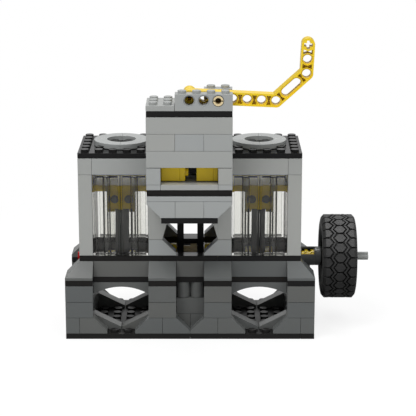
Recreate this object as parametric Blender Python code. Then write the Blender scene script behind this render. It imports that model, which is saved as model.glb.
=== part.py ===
"""Two-cylinder vacuum engine model, built of toy building bricks, with a flywheel and a throttle lever.

Metres, +Z up. The origin is the middle of the base's underside, +X runs along the crankshaft towards
the flywheel and -Y is the front, where the throttle tower stands."""

import math

import bmesh
import bpy
from mathutils import Matrix, Vector

# Building grid
stud = 0.008
brick = 0.0096
plate = 0.0032
half_stud = stud / 2
quarter_stud = stud / 4
stud_radius = 0.0024
stud_height = 0.0017
slope_lip = 0.0016

# Play between pieces
seat_gap = 0.0003
half_gap = seat_gap / 2
running_gap = 0.0003
weld_reach = seat_gap / 100
point_reach = seat_gap / 10

# Axles, beams and bushes
axle_radius = 0.0024
hole_radius = axle_radius + running_gap
axle_rise = 0.0058
beam_radius = 0.0037
beam_width = 0.0078
thin_beam = 0.0038
bush_radius = 0.0037
bush_neck = 0.0029

# Plan of the engine, half widths from its middle
base_end = 9 * stud
wall_face = 8 * stud
bore_outer = 7 * stud
bank = 5 * stud
bore_inner = 3 * stud
chest_side = 2 * stud
recess_side = stud
base_front = 4 * stud
wall_front = 3 * stud
bore_side = 2 * stud

# Heights of the courses
course_1 = plate
course_2 = course_1 + brick
course_3 = course_2 + brick
belt_floor = course_3 + brick
belt_top = belt_floor + plate
deck_floor = belt_top + brick
deck_top = deck_floor + plate
window_courses = 5
jamb_courses = 4
foot_courses = 3
tower_courses = 3
window_top = deck_top + window_courses * brick
head_floor = window_top + brick
head_top = head_floor + plate
ring_top = head_top + plate

# Arches of the crankcase
arch_radius = 0.031
arch_rise = 0.0068
arch_crown = course_3 + arch_rise
round_brick_radius = half_stud - half_gap

# Cylinder heads
ring_radius = 2 * stud - half_gap
ring_bore = math.hypot(stud, stud) / 2 + stud_radius + seat_gap

# Crankshaft and its throws
crank_z = belt_top + axle_rise
throw = stud
valve_throw = half_stud
rod_length = 4 * stud
valve_rod_length = 4 * stud
axle_left_out = 0.0028
axle_left_end = wall_face + axle_left_out

# Pistons
piston_play = 0.0003
crown_rise = 0.0161
crown_thickness = 0.0037
skirt_thickness = 0.0036

# Flywheel and its coupling
drum_radius = 0.0056
drum_wall = 0.001
drum_reach = 0.0046
drum_end = base_end + drum_reach
drum_cap = 0.0032
drum_sill = 0.0021
half_bushes = 4
tyre_radius = 0.02475
tyre_width = 0.0202
tyre_depth = 0.00955
tyre_shoulder = 0.0022
tyre_left = drum_end + seat_gap
tyre_right = tyre_left + tyre_width
rim_radius = tyre_radius - tyre_depth
rim_wall = 0.0016
rim_web = 0.0026
hub_radius = 0.0056
axle_right_out = 0.0081
axle_right_end = tyre_right + axle_right_out

# Valve gear
valve_rod_in = half_stud
valve_bore = stud - half_gap
slider_play = 0.0004
slider_height = 0.008
tongue_half = 0.0032
spacer_height = 0.003

# Throttle tower, half widths and heights
tower_side = 3 * stud
tower_front = 6 * stud
tower_row = 5 * stud
tower_back = 4 * stud
foot_top = deck_top + foot_courses * brick
foot_floor = foot_top - plate
hopper_top = foot_top + brick + plate
slot_plate_top = hopper_top + plate
slot_floor = slot_plate_top + plate
slot_top = slot_floor + brick
tower_top = slot_top + tower_courses * brick
cap_top = tower_top + plate
back_wall = 0.0014
shutter_side = 0.006
shaft_side = shutter_side + 2 * running_gap

# Throttle
lever_pivot_x = 2 * stud
lever_z = cap_top + axle_rise
lever_tilt = math.radians(2.7)
lever_left = 2 * stud
lever_bend = 4 * stud
lever_rise = 2 * stud
lever_tip = 4 * stud
lever_slot_share = 0.49
end_drop = lever_left * math.sin(lever_tilt)
gate_left = 0.0024
gate_right = 0.0039
gate_bridge = 0.0018
shutter_thickness = 0.0018
shutter_height = 0.012

cut_past = 0.002
bite = 0.002
stud_sides = 12
rod_sides = 16
bore_sides = 24
drum_sides = 32
wheel_sides = 48
smooth_angle = math.radians(40)

sides = ((-1, "left"), (1, "right"))
rows = ((-1, "front"), (1, "rear"))

for leftover in list(bpy.data.objects):
    bpy.data.objects.remove(leftover, do_unlink=True)

engine = bpy.data.collections.new("vacuum_engine_model")
guides = bpy.data.collections.new("cutters")
for group in (engine, guides):
    bpy.context.scene.collection.children.link(group)


def plastic(name, colour, roughness=0.35):
    material = bpy.data.materials.new(name)
    material.use_nodes = True
    surface = material.node_tree.nodes["Principled BSDF"]
    surface.inputs["Base Color"].default_value = (*colour, 1)
    surface.inputs["Roughness"].default_value = roughness
    surface.inputs["Metallic"].default_value = 0
    material.diffuse_color = (*colour, 1)
    return material


black = plastic("black_plastic", (0.01, 0.01, 0.01))
dark_grey = plastic("dark_grey_plastic", (0.13, 0.14, 0.14))
light_grey = plastic("light_grey_plastic", (0.36, 0.37, 0.37))
yellow = plastic("yellow_plastic", (0.75, 0.5, 0.02))
tan = plastic("tan_plastic", (0.62, 0.5, 0.3))
red = plastic("red_plastic", (0.5, 0.01, 0.01))
clear = plastic("clear_plastic", (0.85, 0.86, 0.86), 0.05)
rubber = plastic("tyre_rubber", (0.02, 0.02, 0.02), 0.8)


def keep(name, mesh, material):
    """A finished mesh as an object of the engine."""
    piece = bpy.data.objects.new(name, mesh)
    piece.data.materials.append(material)
    engine.objects.link(piece)
    return piece


def mesh_of(name, build):
    """Runs build on an empty bmesh and returns the closed mesh with its faces pointing out."""
    work = bmesh.new()
    build(work)
    bmesh.ops.recalc_face_normals(work, faces=work.faces)
    mesh = bpy.data.meshes.new(name)
    work.to_mesh(mesh)
    work.free()
    return mesh


def box(name, x, y, z, material):
    """A box between the low and high ends given for each axis, whichever comes first."""
    low = Vector((min(x), min(y), min(z)))
    high = Vector((max(x), max(y), max(z)))
    placed = Matrix.Translation((low + high) / 2) @ Matrix.Diagonal((*(high - low), 1))
    return keep(name, mesh_of(name, lambda work: bmesh.ops.create_cube(work, size=1, matrix=placed)), material)


def round_bar(name, radius, start, end, material, facets=rod_sides):
    """A round bar between two points on its axis."""
    start, end = Vector(start), Vector(end)
    run = end - start
    aimed = run.to_track_quat("Z", "X").to_matrix().to_4x4()
    placed = Matrix.Translation((start + end) / 2) @ aimed

    def build(work):
        bmesh.ops.create_cone(
            work, cap_ends=True, segments=facets, radius1=radius, radius2=radius, depth=run.length, matrix=placed
        )

    piece = keep(name, mesh_of(name, build), material)
    piece.data.shade_smooth()
    piece.data.set_sharp_from_angle(angle=smooth_angle)
    return piece


planes = {
    "XY": Matrix.Identity(4),
    "XZ": Matrix(((1, 0, 0, 0), (0, 0, 1, 0), (0, 1, 0, 0), (0, 0, 0, 1))),
    "YZ": Matrix(((0, 0, 1, 0), (1, 0, 0, 0), (0, 1, 0, 0), (0, 0, 0, 1))),
}


def prism(name, plane, points, ends, material):
    """A flat outline drawn in one plane and given its thickness between two places on the third axis."""
    drawing = bpy.data.curves.new(name, "CURVE")
    drawing.dimensions = "2D"
    drawing.fill_mode = "BOTH"
    drawing.extrude = abs(ends[1] - ends[0]) / 2
    line = drawing.splines.new("POLY")
    line.points.add(len(points) - 1)
    for place, (across, up) in zip(line.points, points):
        place.co = (across, up, 0, 1)
    line.use_cyclic_u = True
    sketch = bpy.data.objects.new(name, drawing)
    engine.objects.link(sketch)
    shaped = sketch.evaluated_get(bpy.context.evaluated_depsgraph_get())
    mesh = bpy.data.meshes.new_from_object(shaped)
    bpy.data.objects.remove(sketch, do_unlink=True)
    mesh.materials.clear()
    mesh.transform(planes[plane] @ Matrix.Translation((0, 0, (ends[0] + ends[1]) / 2)))
    weld = bmesh.new()
    weld.from_mesh(mesh)
    bmesh.ops.remove_doubles(weld, verts=weld.verts, dist=weld_reach)
    bmesh.ops.recalc_face_normals(weld, faces=weld.faces)
    weld.to_mesh(mesh)
    weld.free()
    return keep(name, mesh, material)


def turned(name, profile, material, facets=wheel_sides):
    """A closed profile of places along X and radii, turned about the X axis."""
    def build(work):
        ring = [work.verts.new((along, 0, radius)) for along, radius in profile]
        edges = [work.edges.new((ring[i - 1], ring[i])) for i in range(len(ring))]
        bmesh.ops.spin(
            work, geom=ring + edges, cent=(0, 0, 0), axis=(1, 0, 0),
            angle=2 * math.pi, steps=facets, use_merge=True,
        )
        bmesh.ops.remove_doubles(work, verts=work.verts, dist=weld_reach)

    piece = keep(name, mesh_of(name, build), material)
    piece.data.shade_smooth()
    piece.data.set_sharp_from_angle(angle=smooth_angle)
    return piece


def combine(piece, tool, operation):
    """Cuts the tool from the piece, or joins it on, with a Boolean that stays on the piece."""
    engine.objects.unlink(tool)
    guides.objects.link(tool)
    tool.name = f"{piece.name}_{operation.lower()}_{len(piece.modifiers)}"
    tool.hide_render = True
    tool.display_type = "WIRE"
    change = piece.modifiers.new(operation.lower(), "BOOLEAN")
    change.operation = operation
    change.solver = "EXACT"
    change.object = tool


def cut(piece, *tools):
    for tool in tools:
        combine(piece, tool, "DIFFERENCE")


def join(piece, *tools):
    for tool in tools:
        combine(piece, tool, "UNION")


def stadium(length, radius, steps=8, start=0):
    """The outline of a flat bar with round ends: along the first axis from start, round its two end holes."""
    points = []
    for centre, first in ((start + length, -math.pi / 2), (start, math.pi / 2)):
        for i in range(steps + 1):
            angle = first + math.pi * i / steps
            points.append((centre + radius * math.cos(angle), radius * math.sin(angle)))
    return points


def add_studs(piece, places, top):
    """Joins a stud on the piece at each place of its top face."""
    for x, y in places:
        start, end = (x, y, top - bite), (x, y, top + stud_height)
        join(piece, round_bar("stud", stud_radius, start, end, light_grey, stud_sides))


def stud_row(edge, count):
    """The middles of a number of studs that run from an edge towards the plus side."""
    return [edge + half_stud + i * stud for i in range(count)]


def crankcase():
    """The base: a black plate, its walls with arches and slopes, and the plates and bearings on them."""
    box("base_plate", (-base_end, base_end), (-base_front, base_front), (0, course_1 - half_gap), black)
    for side, side_name in sides:
        end_wall(f"end_wall_{side_name}", side)
        bearings(side, side_name)
    for row, row_name in rows:
        centre_pier(f"centre_pier_{row_name}", row)
        slope_course(f"slope_course_{row_name}", row)
        for side, side_name in sides:
            arch(f"arch_{row_name}_{side_name}", side, row)
    belt()
    deck()


def end_wall(name, side):
    """One end of the base: a recessed wall between two corner blocks, whose lowest bricks slope down inwards."""
    plan = [
        (base_end, -base_front), (bore_outer, -base_front), (bore_outer, base_front), (base_end, base_front),
        (base_end, bore_side), (wall_face, bore_side), (wall_face, -bore_side), (base_end, -bore_side),
    ]
    heights = (course_1 + half_gap, belt_floor - half_gap)
    piece = prism(name, "XY", [(side * x, y) for x, y in plan], heights, dark_grey)
    low, lip, high = course_1 + half_gap, course_1 + slope_lip, course_2 - half_gap
    for row in (-1, 1):
        for toe, depth in (
            (bore_outer - stud, (base_front, wall_front - bite)),
            (bank + half_gap, (wall_front, bore_side)),
        ):
            wedge = [
                (bore_outer + bite, low), (bore_outer + bite, high), (bore_outer, high), (toe, lip), (toe, low)
            ]
            face = [(side * x, z) for x, z in wedge]
            join(piece, prism("wedge", "XZ", face, (row * depth[0], row * depth[1]), dark_grey))


def centre_pier(name, row):
    """The block between the two arches of one long side, with the narrow recess and its two round bricks."""
    plan = [
        (-bore_inner, base_front), (-recess_side, base_front), (-recess_side, wall_front),
        (recess_side, wall_front), (recess_side, base_front), (bore_inner, base_front),
        (bore_inner, bore_side), (-bore_inner, bore_side),
    ]
    low, lip, high = course_1 + half_gap, course_1 + slope_lip, course_2 - half_gap
    piece = prism(name, "XY", [(x, row * y) for x, y in plan], (low, belt_floor - half_gap), dark_grey)
    outer, inner = bore_inner + stud, bank - half_gap
    front_face = [
        (-outer, low), (-outer, lip), (-bore_inner, high), (-recess_side, high), (0, lip),
        (recess_side, high), (bore_inner, high), (outer, lip), (outer, low),
    ]
    join(piece, prism("front_slopes", "XZ", front_face, (row * base_front, row * (wall_front - bite)), dark_grey))
    inner_face = [
        (-inner, low), (-inner, lip), (-bore_inner, high), (bore_inner, high), (inner, lip), (inner, low)
    ]
    join(piece, prism("inner_slopes", "XZ", inner_face, (row * wall_front, row * bore_side), dark_grey))
    middle = (wall_front + bore_side) / 2
    across = (row * (wall_front + cut_past), row * middle)
    niche = box("niche", (-recess_side, recess_side), across, (course_3, belt_floor + cut_past), dark_grey)
    for side in (-1, 1):
        x, y = side * half_stud, row * middle
        start, end = (x, y, course_3 - bite), (x, y, belt_floor + cut_past + bite)
        cut(niche, round_bar("round_brick", round_brick_radius, start, end, dark_grey, bore_sides))
    cut(piece, niche)


def arch(name, side, row):
    """The part of an arch brick that spans one opening of the crankcase."""
    span = (bore_outer - bore_inner) / 2 - half_gap
    top = belt_floor - half_gap
    reach = math.asin(span / arch_radius)
    points = [(bank + span, top), (bank - span, top)]
    steps = 12
    for i in range(steps + 1):
        angle = -reach + 2 * reach * i / steps
        rise = arch_radius * (math.cos(angle) - 1)
        points.append((bank + arch_radius * math.sin(angle), arch_crown + rise))
    prism(name, "XZ", [(side * x, z) for x, z in points], (row * wall_front, row * bore_side), dark_grey)


def belt():
    """The black plates round the crankcase, as one ring that follows the blocks and recesses below it."""
    heights = (belt_floor + half_gap, belt_top - half_gap)
    past = (course_3, deck_floor)
    piece = box("belt_plate", (-base_end, base_end), (-base_front, base_front), heights, black)
    cut(piece, box("inside", (-bore_outer, bore_outer), (-bore_side, bore_side), past, black))
    for side in (-1, 1):
        outside = (side * wall_face, side * (base_end + cut_past))
        cut(piece, box("end_recess", outside, (-bore_side, bore_side), past, black))
        outside = (side * wall_front, side * (base_front + cut_past))
        for recess in ((-bore_outer, -bore_inner), (-recess_side, recess_side), (bore_inner, bore_outer)):
            cut(piece, box("recess", recess, outside, past, black))


def slope_course(name, row):
    """The sloped bricks along one long side of the base, with the plain bricks of its recesses."""
    low, lip, high = belt_top + half_gap, belt_top + slope_lip, deck_floor - half_gap
    y_in = row * (bore_side + half_gap)
    piece = box(name, (-bore_outer - bite, bore_outer + bite), (row * wall_front, y_in), (low, high), dark_grey)
    face = [(base_front, low), (base_front, lip), (wall_front, high), (wall_front - bite, high),
            (wall_front - bite, low)]
    pier = [(row * y, z) for y, z in face]
    for side in (-1, 1):
        ends = (side * recess_side, side * bore_inner)
        join(piece, prism("pier_slope", "YZ", pier, ends, dark_grey))
        join(piece, corner_slope(side, row, low, lip, high))


def corner_slope(side, row, low, lip, high):
    """A corner brick that slopes on both of its outer sides."""
    x_range, y_range = (side * bore_outer, side * base_end), (row * base_front, row * (bore_side + half_gap))
    piece = box("corner_slope", x_range, y_range, (low, high), dark_grey)
    work = bmesh.new()
    work.from_mesh(piece.data)
    rise, run = high - lip, stud
    for corner, outward in (
        (Vector((side * base_end, 0, lip)), Vector((side * rise, 0, run))),
        (Vector((0, row * base_front, lip)), Vector((0, row * rise, run))),
    ):
        everything = work.verts[:] + work.edges[:] + work.faces[:]
        bmesh.ops.bisect_plane(work, geom=everything, plane_co=corner, plane_no=outward, clear_outer=True)
        open_edges = [edge for edge in work.edges if edge.is_boundary]
        bmesh.ops.contextual_create(work, geom=open_edges)
    bmesh.ops.recalc_face_normals(work, faces=work.faces)
    work.to_mesh(piece.data)
    work.free()
    return piece


def bearings(side, side_name):
    """The two bored bricks that carry the crankshaft on one side of the engine."""
    y_range = (-bore_side + half_gap, bore_side - half_gap)
    z_range = (belt_top + half_gap, deck_floor - half_gap)
    for name, inner, outer in (
        (f"axle_brick_{side_name}", bore_outer, wall_face), (f"inner_bearing_{side_name}", chest_side, bore_inner)
    ):
        piece = box(name, (side * inner, side * outer), y_range, z_range, dark_grey)
        start, end = (side * (inner - cut_past), 0, crank_z), (side * (outer + cut_past), 0, crank_z)
        cut(piece, round_bar("bearing_hole", hole_radius, start, end, dark_grey, bore_sides))


def deck():
    """The black plates that close the base round the two bores and the valve gear."""
    heights = (deck_floor + half_gap, deck_top - half_gap)
    piece = box("deck_plate", (-wall_face, wall_face), (-wall_front, wall_front), heights, black)
    past = (deck_floor - cut_past, deck_top + cut_past)
    for name, x_range in (
        ("left_bore", (-bore_outer, -bore_inner)),
        ("right_bore", (bore_inner, bore_outer)),
        ("valve_gap", (-chest_side, chest_side)),
    ):
        cut(piece, box(name, x_range, (-bore_side, bore_side), past, black))


def cylinders():
    """The two cylinders: brick walls, clear windows, inner walls with slopes, heads and rings."""
    for side, side_name in sides:
        cylinder_frame(f"cylinder_frame_{side_name}", side)
        inner_wall(f"inner_wall_{side_name}", side)
        for row, row_name in rows:
            window(f"window_{row_name}_{side_name}", side, row)
        cylinder_head(side, side_name)


def cylinder_frame(name, side):
    """The outer side wall of a cylinder with the course of bricks that closes its top."""
    depth = (-wall_front, wall_front)
    low, high = deck_top + half_gap, head_floor - half_gap
    piece = box(name, (side * bore_outer, side * wall_face), depth, (low, high), light_grey)
    reach = (side * (chest_side + half_gap), side * (wall_face - bite))
    join(piece, box("top_course", reach, depth, (window_top + half_gap, high), light_grey))
    bore = (side * (bore_inner - half_gap), side * bore_outer)
    past = (window_top - cut_past, head_floor + cut_past)
    cut(piece, box("bore", bore, (-bore_side, bore_side), past, light_grey))


def inner_wall(name, side):
    """The wall between a cylinder and the valve gap, with slopes that frame the gap at front and rear."""
    low, high = deck_top + half_gap, window_top - half_gap
    x_range = (side * (chest_side + half_gap), side * (bore_inner - half_gap))
    piece = box(name, x_range, (-wall_front, wall_front), (low, high), light_grey)
    sill = deck_top + brick
    top = deck_top + jamb_courses * brick - half_gap
    jamb = [
        (chest_side + bite, low), (recess_side, low), (recess_side, deck_top + slope_lip),
        (chest_side, sill), (recess_side, top - slope_lip), (recess_side, top), (chest_side + bite, top),
    ]
    face = [(side * x, z) for x, z in jamb]
    for row in (-1, 1):
        join(piece, prism("jamb", "XZ", face, (row * wall_front, row * bore_side), light_grey))


def window(name, side, row):
    """A pair of tall clear bricks side by side, with a groove where they meet."""
    x_range = (side * (bore_inner + half_gap), side * (bore_outer - half_gap))
    y_range = (row * wall_front, row * (bore_side + half_gap))
    z_range = (deck_top + half_gap, window_top - half_gap)
    piece = box(name, x_range, y_range, z_range, clear)
    groove = (side * (bank - half_gap), side * (bank + half_gap))
    past = (deck_top, window_top)
    outside = (row * (wall_front + cut_past), row * (wall_front - half_gap))
    cut(piece, box("groove", groove, outside, past, clear))


def cylinder_head(side, side_name):
    """The black top plate with its studs, and the ring round the middle of it."""
    heights = (head_floor + half_gap, head_top - half_gap)
    x_range = (side * (chest_side + half_gap), side * wall_face)
    piece = box(f"head_plate_{side_name}", x_range, (-wall_front, wall_front), heights, black)
    grid = [(x, y) for x in range(6) for y in range(6)]
    outer_ring = [(x, y) for x, y in grid if {x, y} & {0, 5}]
    in_the_bore = [(x, y) for x, y in grid if {x, y} <= {2, 3}]
    across, along = stud_row(side * bank - wall_front, 6), stud_row(-wall_front, 6)
    places = [(across[x], along[y]) for x, y in outer_ring + in_the_bore]
    add_studs(piece, places, heights[1])
    start, end = (side * bank, 0, head_top + half_gap), (side * bank, 0, ring_top)
    ring = round_bar(f"port_ring_{side_name}", ring_radius, start, end, light_grey, wheel_sides)
    start, end = (side * bank, 0, head_floor), (side * bank, 0, ring_top + cut_past)
    cut(ring, round_bar("ring_bore", ring_bore, start, end, light_grey, wheel_sides))


def valve_chest():
    """The block between the cylinders, with the bore that the valve slider runs in."""
    x_range = (-chest_side + half_gap, chest_side - half_gap)
    floor = foot_top + brick + half_gap
    y_range = (-wall_front + half_gap, wall_front)
    piece = box("valve_chest", x_range, y_range, (floor, head_floor - half_gap), light_grey)
    past = (floor - cut_past, window_top + brick / 2)
    cut(piece, box("valve_bore", (-valve_bore, valve_bore), (-valve_bore, valve_bore), past, light_grey))


def tower():
    """The throttle tower on the front, course by course."""
    depth = (-tower_front, -wall_front)
    box("tower_foot_plate", (-chest_side, chest_side), depth, (foot_floor + half_gap, foot_top - half_gap), black)

    low, high = foot_top + half_gap, hopper_top - half_gap
    shoulder = foot_top + brick - slope_lip
    hopper = [(-chest_side, low), (chest_side, low), (tower_side, shoulder), (tower_side, high),
              (-tower_side, high), (-tower_side, shoulder)]
    prism("tower_hopper", "XZ", hopper, depth, light_grey)

    width = (-tower_side, tower_side)
    box("slot_plate", width, depth, (hopper_top + half_gap, slot_plate_top - half_gap), black)

    low, high = slot_plate_top + half_gap, slot_top - half_gap
    housing = [(-tower_side, low), (tower_side, low), (tower_side, high), (chest_side, high),
               (chest_side, slot_floor), (-chest_side, slot_floor), (-chest_side, high), (-tower_side, high)]
    prism("gate_housing", "XZ", housing, depth, light_grey)

    upper = box("valve_tower", width, depth, (slot_top + half_gap, tower_top - half_gap), light_grey)
    shaft = (-tower_back + half_gap, -wall_front - back_wall)
    past = (slot_top - cut_past, tower_top + cut_past)
    cut(upper, box("link_shaft", (-shaft_side, shaft_side), shaft, past, light_grey))

    cap = box("tower_cap", width, depth, (tower_top + half_gap, cap_top - half_gap), black)
    start, end = (0, link_y(), tower_top - cut_past), (0, link_y(), cap_top + cut_past)
    cut(cap, round_bar("link_hole", hole_radius, start, end, black, bore_sides))

    top = cap_top + plate
    stud_rows = stud_row(-tower_front, 3)
    short = (-tower_side, -recess_side - half_gap)
    studded = box("top_plate", short, depth, (cap_top + half_gap, top), light_grey)
    add_studs(studded, [(x, y) for x in stud_row(-tower_side, 2) for y in stud_rows], top)
    front_holes = (0, recess_side, lever_pivot_x)
    front, rear = (-tower_front, -tower_row - half_gap), (-tower_back + half_gap, -wall_front)
    pivot_brick("pivot_brick_front", -recess_side, front, front_holes, stud_rows[0])
    pivot_brick("pivot_brick_rear", recess_side, rear, (lever_pivot_x,), stud_rows[2])


def pivot_brick(name, left, y_range, holes, middle):
    """A bored brick that holds the lever's pin, from its left end to the side of the tower."""
    top = cap_top + brick
    piece = box(name, (left, tower_side), y_range, (cap_top + half_gap, top), light_grey)
    for x in holes:
        start, end = (x, y_range[0] - cut_past, lever_z), (x, y_range[1] + cut_past, lever_z)
        cut(piece, round_bar("pivot_hole", hole_radius, start, end, light_grey, bore_sides))
    count = round((tower_side - left) / stud)
    add_studs(piece, [(x, middle) for x in stud_row(left, count)], top)


def link_y():
    """The depth at which the throttle link runs, in the middle of its shaft."""
    return (-tower_back - wall_front - back_wall) / 2


def empty_at(name, place):
    """An empty on a joint's axis, to carry the pieces that move about it."""
    pivot = bpy.data.objects.new(name, None)
    pivot.empty_display_size = stud
    pivot.location = place
    engine.objects.link(pivot)
    bpy.context.view_layer.update()
    return pivot


def carry(pivot, *pieces):
    for piece in pieces:
        piece.parent = pivot
        piece.matrix_parent_inverse = pivot.matrix_world.inverted()


def bar_between(name, start, end, x_range, material, radius=beam_radius):
    """A flat bar with round ends across X, round two points given by their Y and Z."""
    start, end = Vector(start), Vector(end)
    run = end - start
    along = run.normalized()
    across = Vector((-along.y, along.x))
    points = [start + along * a + across * b for a, b in stadium(run.length, radius)]
    return prism(name, "YZ", [tuple(point) for point in points], x_range, material)


def crankshaft():
    """The crankshaft, built up of axles, webs and a valve pin, with each throw open at its crank pin."""
    pivot = empty_at("crankshaft_axis", (0, 0, crank_z))
    centre = (0, crank_z)
    slab = beam_width / 2 + seat_gap
    pieces = []

    left_web_in = bank + slab
    left_web_out = left_web_in + thin_beam
    red_axle = round_bar(
        "crank_axle_left", axle_radius, (-axle_left_end, 0, crank_z), (-left_web_out - half_gap, 0, crank_z), red
    )
    pieces.append(red_axle)
    for side, side_name in sides:
        pin = (side * throw, crank_z)
        ends = (side * left_web_in, side * left_web_out)
        pieces.append(bar_between(f"crank_web_{side_name}", centre, pin, ends, yellow))

    web_out, web_in = bank - slab, bank - slab - thin_beam
    valve_web_in = valve_rod_in + thin_beam + seat_gap + half_gap
    valve_web_out = valve_web_in + thin_beam
    for side, side_name in sides:
        start, end = (side * (web_in + bite), 0, crank_z), (side * (valve_web_out - bite), 0, crank_z)
        piece = round_bar(f"crank_centre_{side_name}", axle_radius, start, end, yellow)
        join(piece, bar_between("web", centre, (side * throw, crank_z), (side * web_in, side * web_out), yellow))
        ends = (side * valve_web_in, side * valve_web_out)
        join(piece, bar_between("valve_web", centre, (0, crank_z + valve_throw), ends, yellow))
        pieces.append(piece)

    pin_z = crank_z + valve_throw
    reach = valve_web_in - half_gap
    pin = round_bar("valve_crank_pin", axle_radius, (-reach, 0, pin_z), (reach, 0, pin_z), tan)
    bush_end = valve_rod_in - seat_gap
    join(pin, round_bar("bush", bush_radius, (0, 0, pin_z), (bush_end, 0, pin_z), tan))
    pieces.append(pin)

    start, end = (left_web_out + half_gap, 0, crank_z), (axle_right_end, 0, crank_z)
    pieces.append(round_bar("main_axle", axle_radius, start, end, light_grey))
    pieces += flywheel()
    carry(pivot, *pieces)


def flywheel():
    """The coupling drum with its bushes, the rim and the tyre, all turned about the crankshaft's axis."""
    drum_start = wall_face + seat_gap
    drum = [
        (drum_start, hole_radius), (drum_start, drum_radius), (drum_end, drum_radius), (drum_end, hole_radius),
        (drum_end - drum_cap, hole_radius), (drum_end - drum_cap, drum_radius - drum_wall),
        (drum_start + drum_wall, drum_radius - drum_wall), (drum_start + drum_wall, hole_radius),
    ]
    coupling = turned("flywheel_coupling", drum, dark_grey, drum_sides)
    inside = (drum_start + drum_wall, drum_end - drum_cap)
    past = drum_radius + cut_past
    drum_window = box("drum_window", inside, (-past, 0), (drum_sill, past), dark_grey)
    cut(coupling, drum_window)

    collar_start, collar_end = inside[0] + seat_gap, inside[1] - seat_gap
    half_bush = (collar_end - collar_start) / half_bushes
    collar = [(collar_start, hole_radius)]
    for i in range(half_bushes):
        radius = bush_neck if i % 2 == 0 else bush_radius
        collar += [(collar_start + i * half_bush, radius), (collar_start + (i + 1) * half_bush, radius)]
    collar.append((collar_end, hole_radius))
    bushes = turned("coupling_bushes", collar, yellow, bore_sides)

    left, right = tyre_left, tyre_right
    seat = rim_radius - rim_wall
    web_left = (left + right - rim_web) / 2
    web_right = web_left + rim_web
    rim = [
        (left, hole_radius), (left, hub_radius), (web_left, hub_radius), (web_left, seat),
        (left + rim_wall, seat), (left + rim_wall, rim_radius), (right - rim_wall, rim_radius),
        (right - rim_wall, seat), (web_right, seat), (web_right, hub_radius), (right, hub_radius),
        (right, hole_radius),
    ]
    wheel = turned("flywheel_rim", rim, black)
    inner = rim_radius + half_gap
    tyre = [
        (left + tyre_shoulder / 2, inner), (left, inner + tyre_shoulder), (left, tyre_radius - tyre_shoulder),
        (left + tyre_shoulder, tyre_radius), (right - tyre_shoulder, tyre_radius),
        (right, tyre_radius - tyre_shoulder), (right, inner + tyre_shoulder), (right - tyre_shoulder / 2, inner),
    ]
    rubber_ring = turned("flywheel_tyre", tyre, rubber)
    pieces = [coupling, bushes, wheel, rubber_ring]
    for piece in pieces + [drum_window]:
        piece.location.z = crank_z
    bpy.context.view_layer.update()
    return pieces + [drum_window]


def wrist_z():
    """The height of the wrist pins when both crank pins are level with the crankshaft."""
    return crank_z + math.sqrt(rod_length ** 2 - throw ** 2)


def pistons():
    """The two pistons and their connecting rods, a half turn apart, both at half stroke."""
    top = wrist_z() + crown_rise
    for side, side_name in sides:
        middle = side * bank
        pivot = empty_at(f"piston_{side_name}_axis", (middle, 0, wrist_z()))
        piston = piston_body(f"piston_{side_name}", middle, top)
        swing = empty_at(f"conrod_{side_name}_axis", (middle, 0, wrist_z()))
        rod = connecting_rod(f"conrod_{side_name}", middle, side)
        carry(pivot, piston, swing)
        carry(swing, rod)


def piston_body(name, middle, top):
    """A piston: its square crown, the block under it with two lugs, and the wrist pin through them."""
    half = bore_side - piston_play
    crown_floor = top - crown_thickness
    piece = box(name, (middle - half, middle + half), (-half, half), (crown_floor, top), yellow)
    block_floor = wrist_z() + beam_radius + seat_gap + running_gap
    wide = (middle - stud, middle + stud)
    join(piece, box("block", wide, (-stud, stud), (block_floor, crown_floor + crown_thickness / 2), yellow))
    skirt = (-stud, -stud + skirt_thickness)
    join(piece, box("skirt", wide, skirt, (wrist_z(), block_floor + bite), yellow))
    slot = beam_width / 2 + running_gap
    lug = [(-beam_radius, block_floor + bite), (beam_radius, block_floor + bite), (beam_radius, wrist_z())]
    steps = 6
    for i in range(1, steps):
        angle = -math.pi * i / steps
        lug.append((beam_radius * math.cos(angle), wrist_z() + beam_radius * math.sin(angle)))
    lug.append((-beam_radius, wrist_z()))
    for side in (-1, 1):
        ends = (middle + side * slot, middle + side * (stud - half_gap))
        join(piece, prism("lug", "YZ", lug, ends, yellow))
    start, end = (middle - slot - bite, 0, wrist_z()), (middle + slot + bite, 0, wrist_z())
    join(piece, round_bar("wrist_pin", axle_radius, start, end, dark_grey))
    return piece


def connecting_rod(name, middle, side):
    """A connecting rod between its wrist pin and its crank pin, with the holes of the beam it is made from."""
    wrist, crank = Vector((0, wrist_z())), Vector((side * throw, crank_z))
    ends = (middle - beam_width / 2, middle + beam_width / 2)
    piece = bar_between(name, wrist, crank, ends, dark_grey)
    steps = round(rod_length / stud)
    for i in range(steps):
        place = wrist.lerp(crank, i / steps)
        start, end = (ends[0] - cut_past, *place), (ends[1] + cut_past, *place)
        cut(piece, round_bar("beam_hole", hole_radius, start, end, dark_grey))
    return piece


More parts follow.
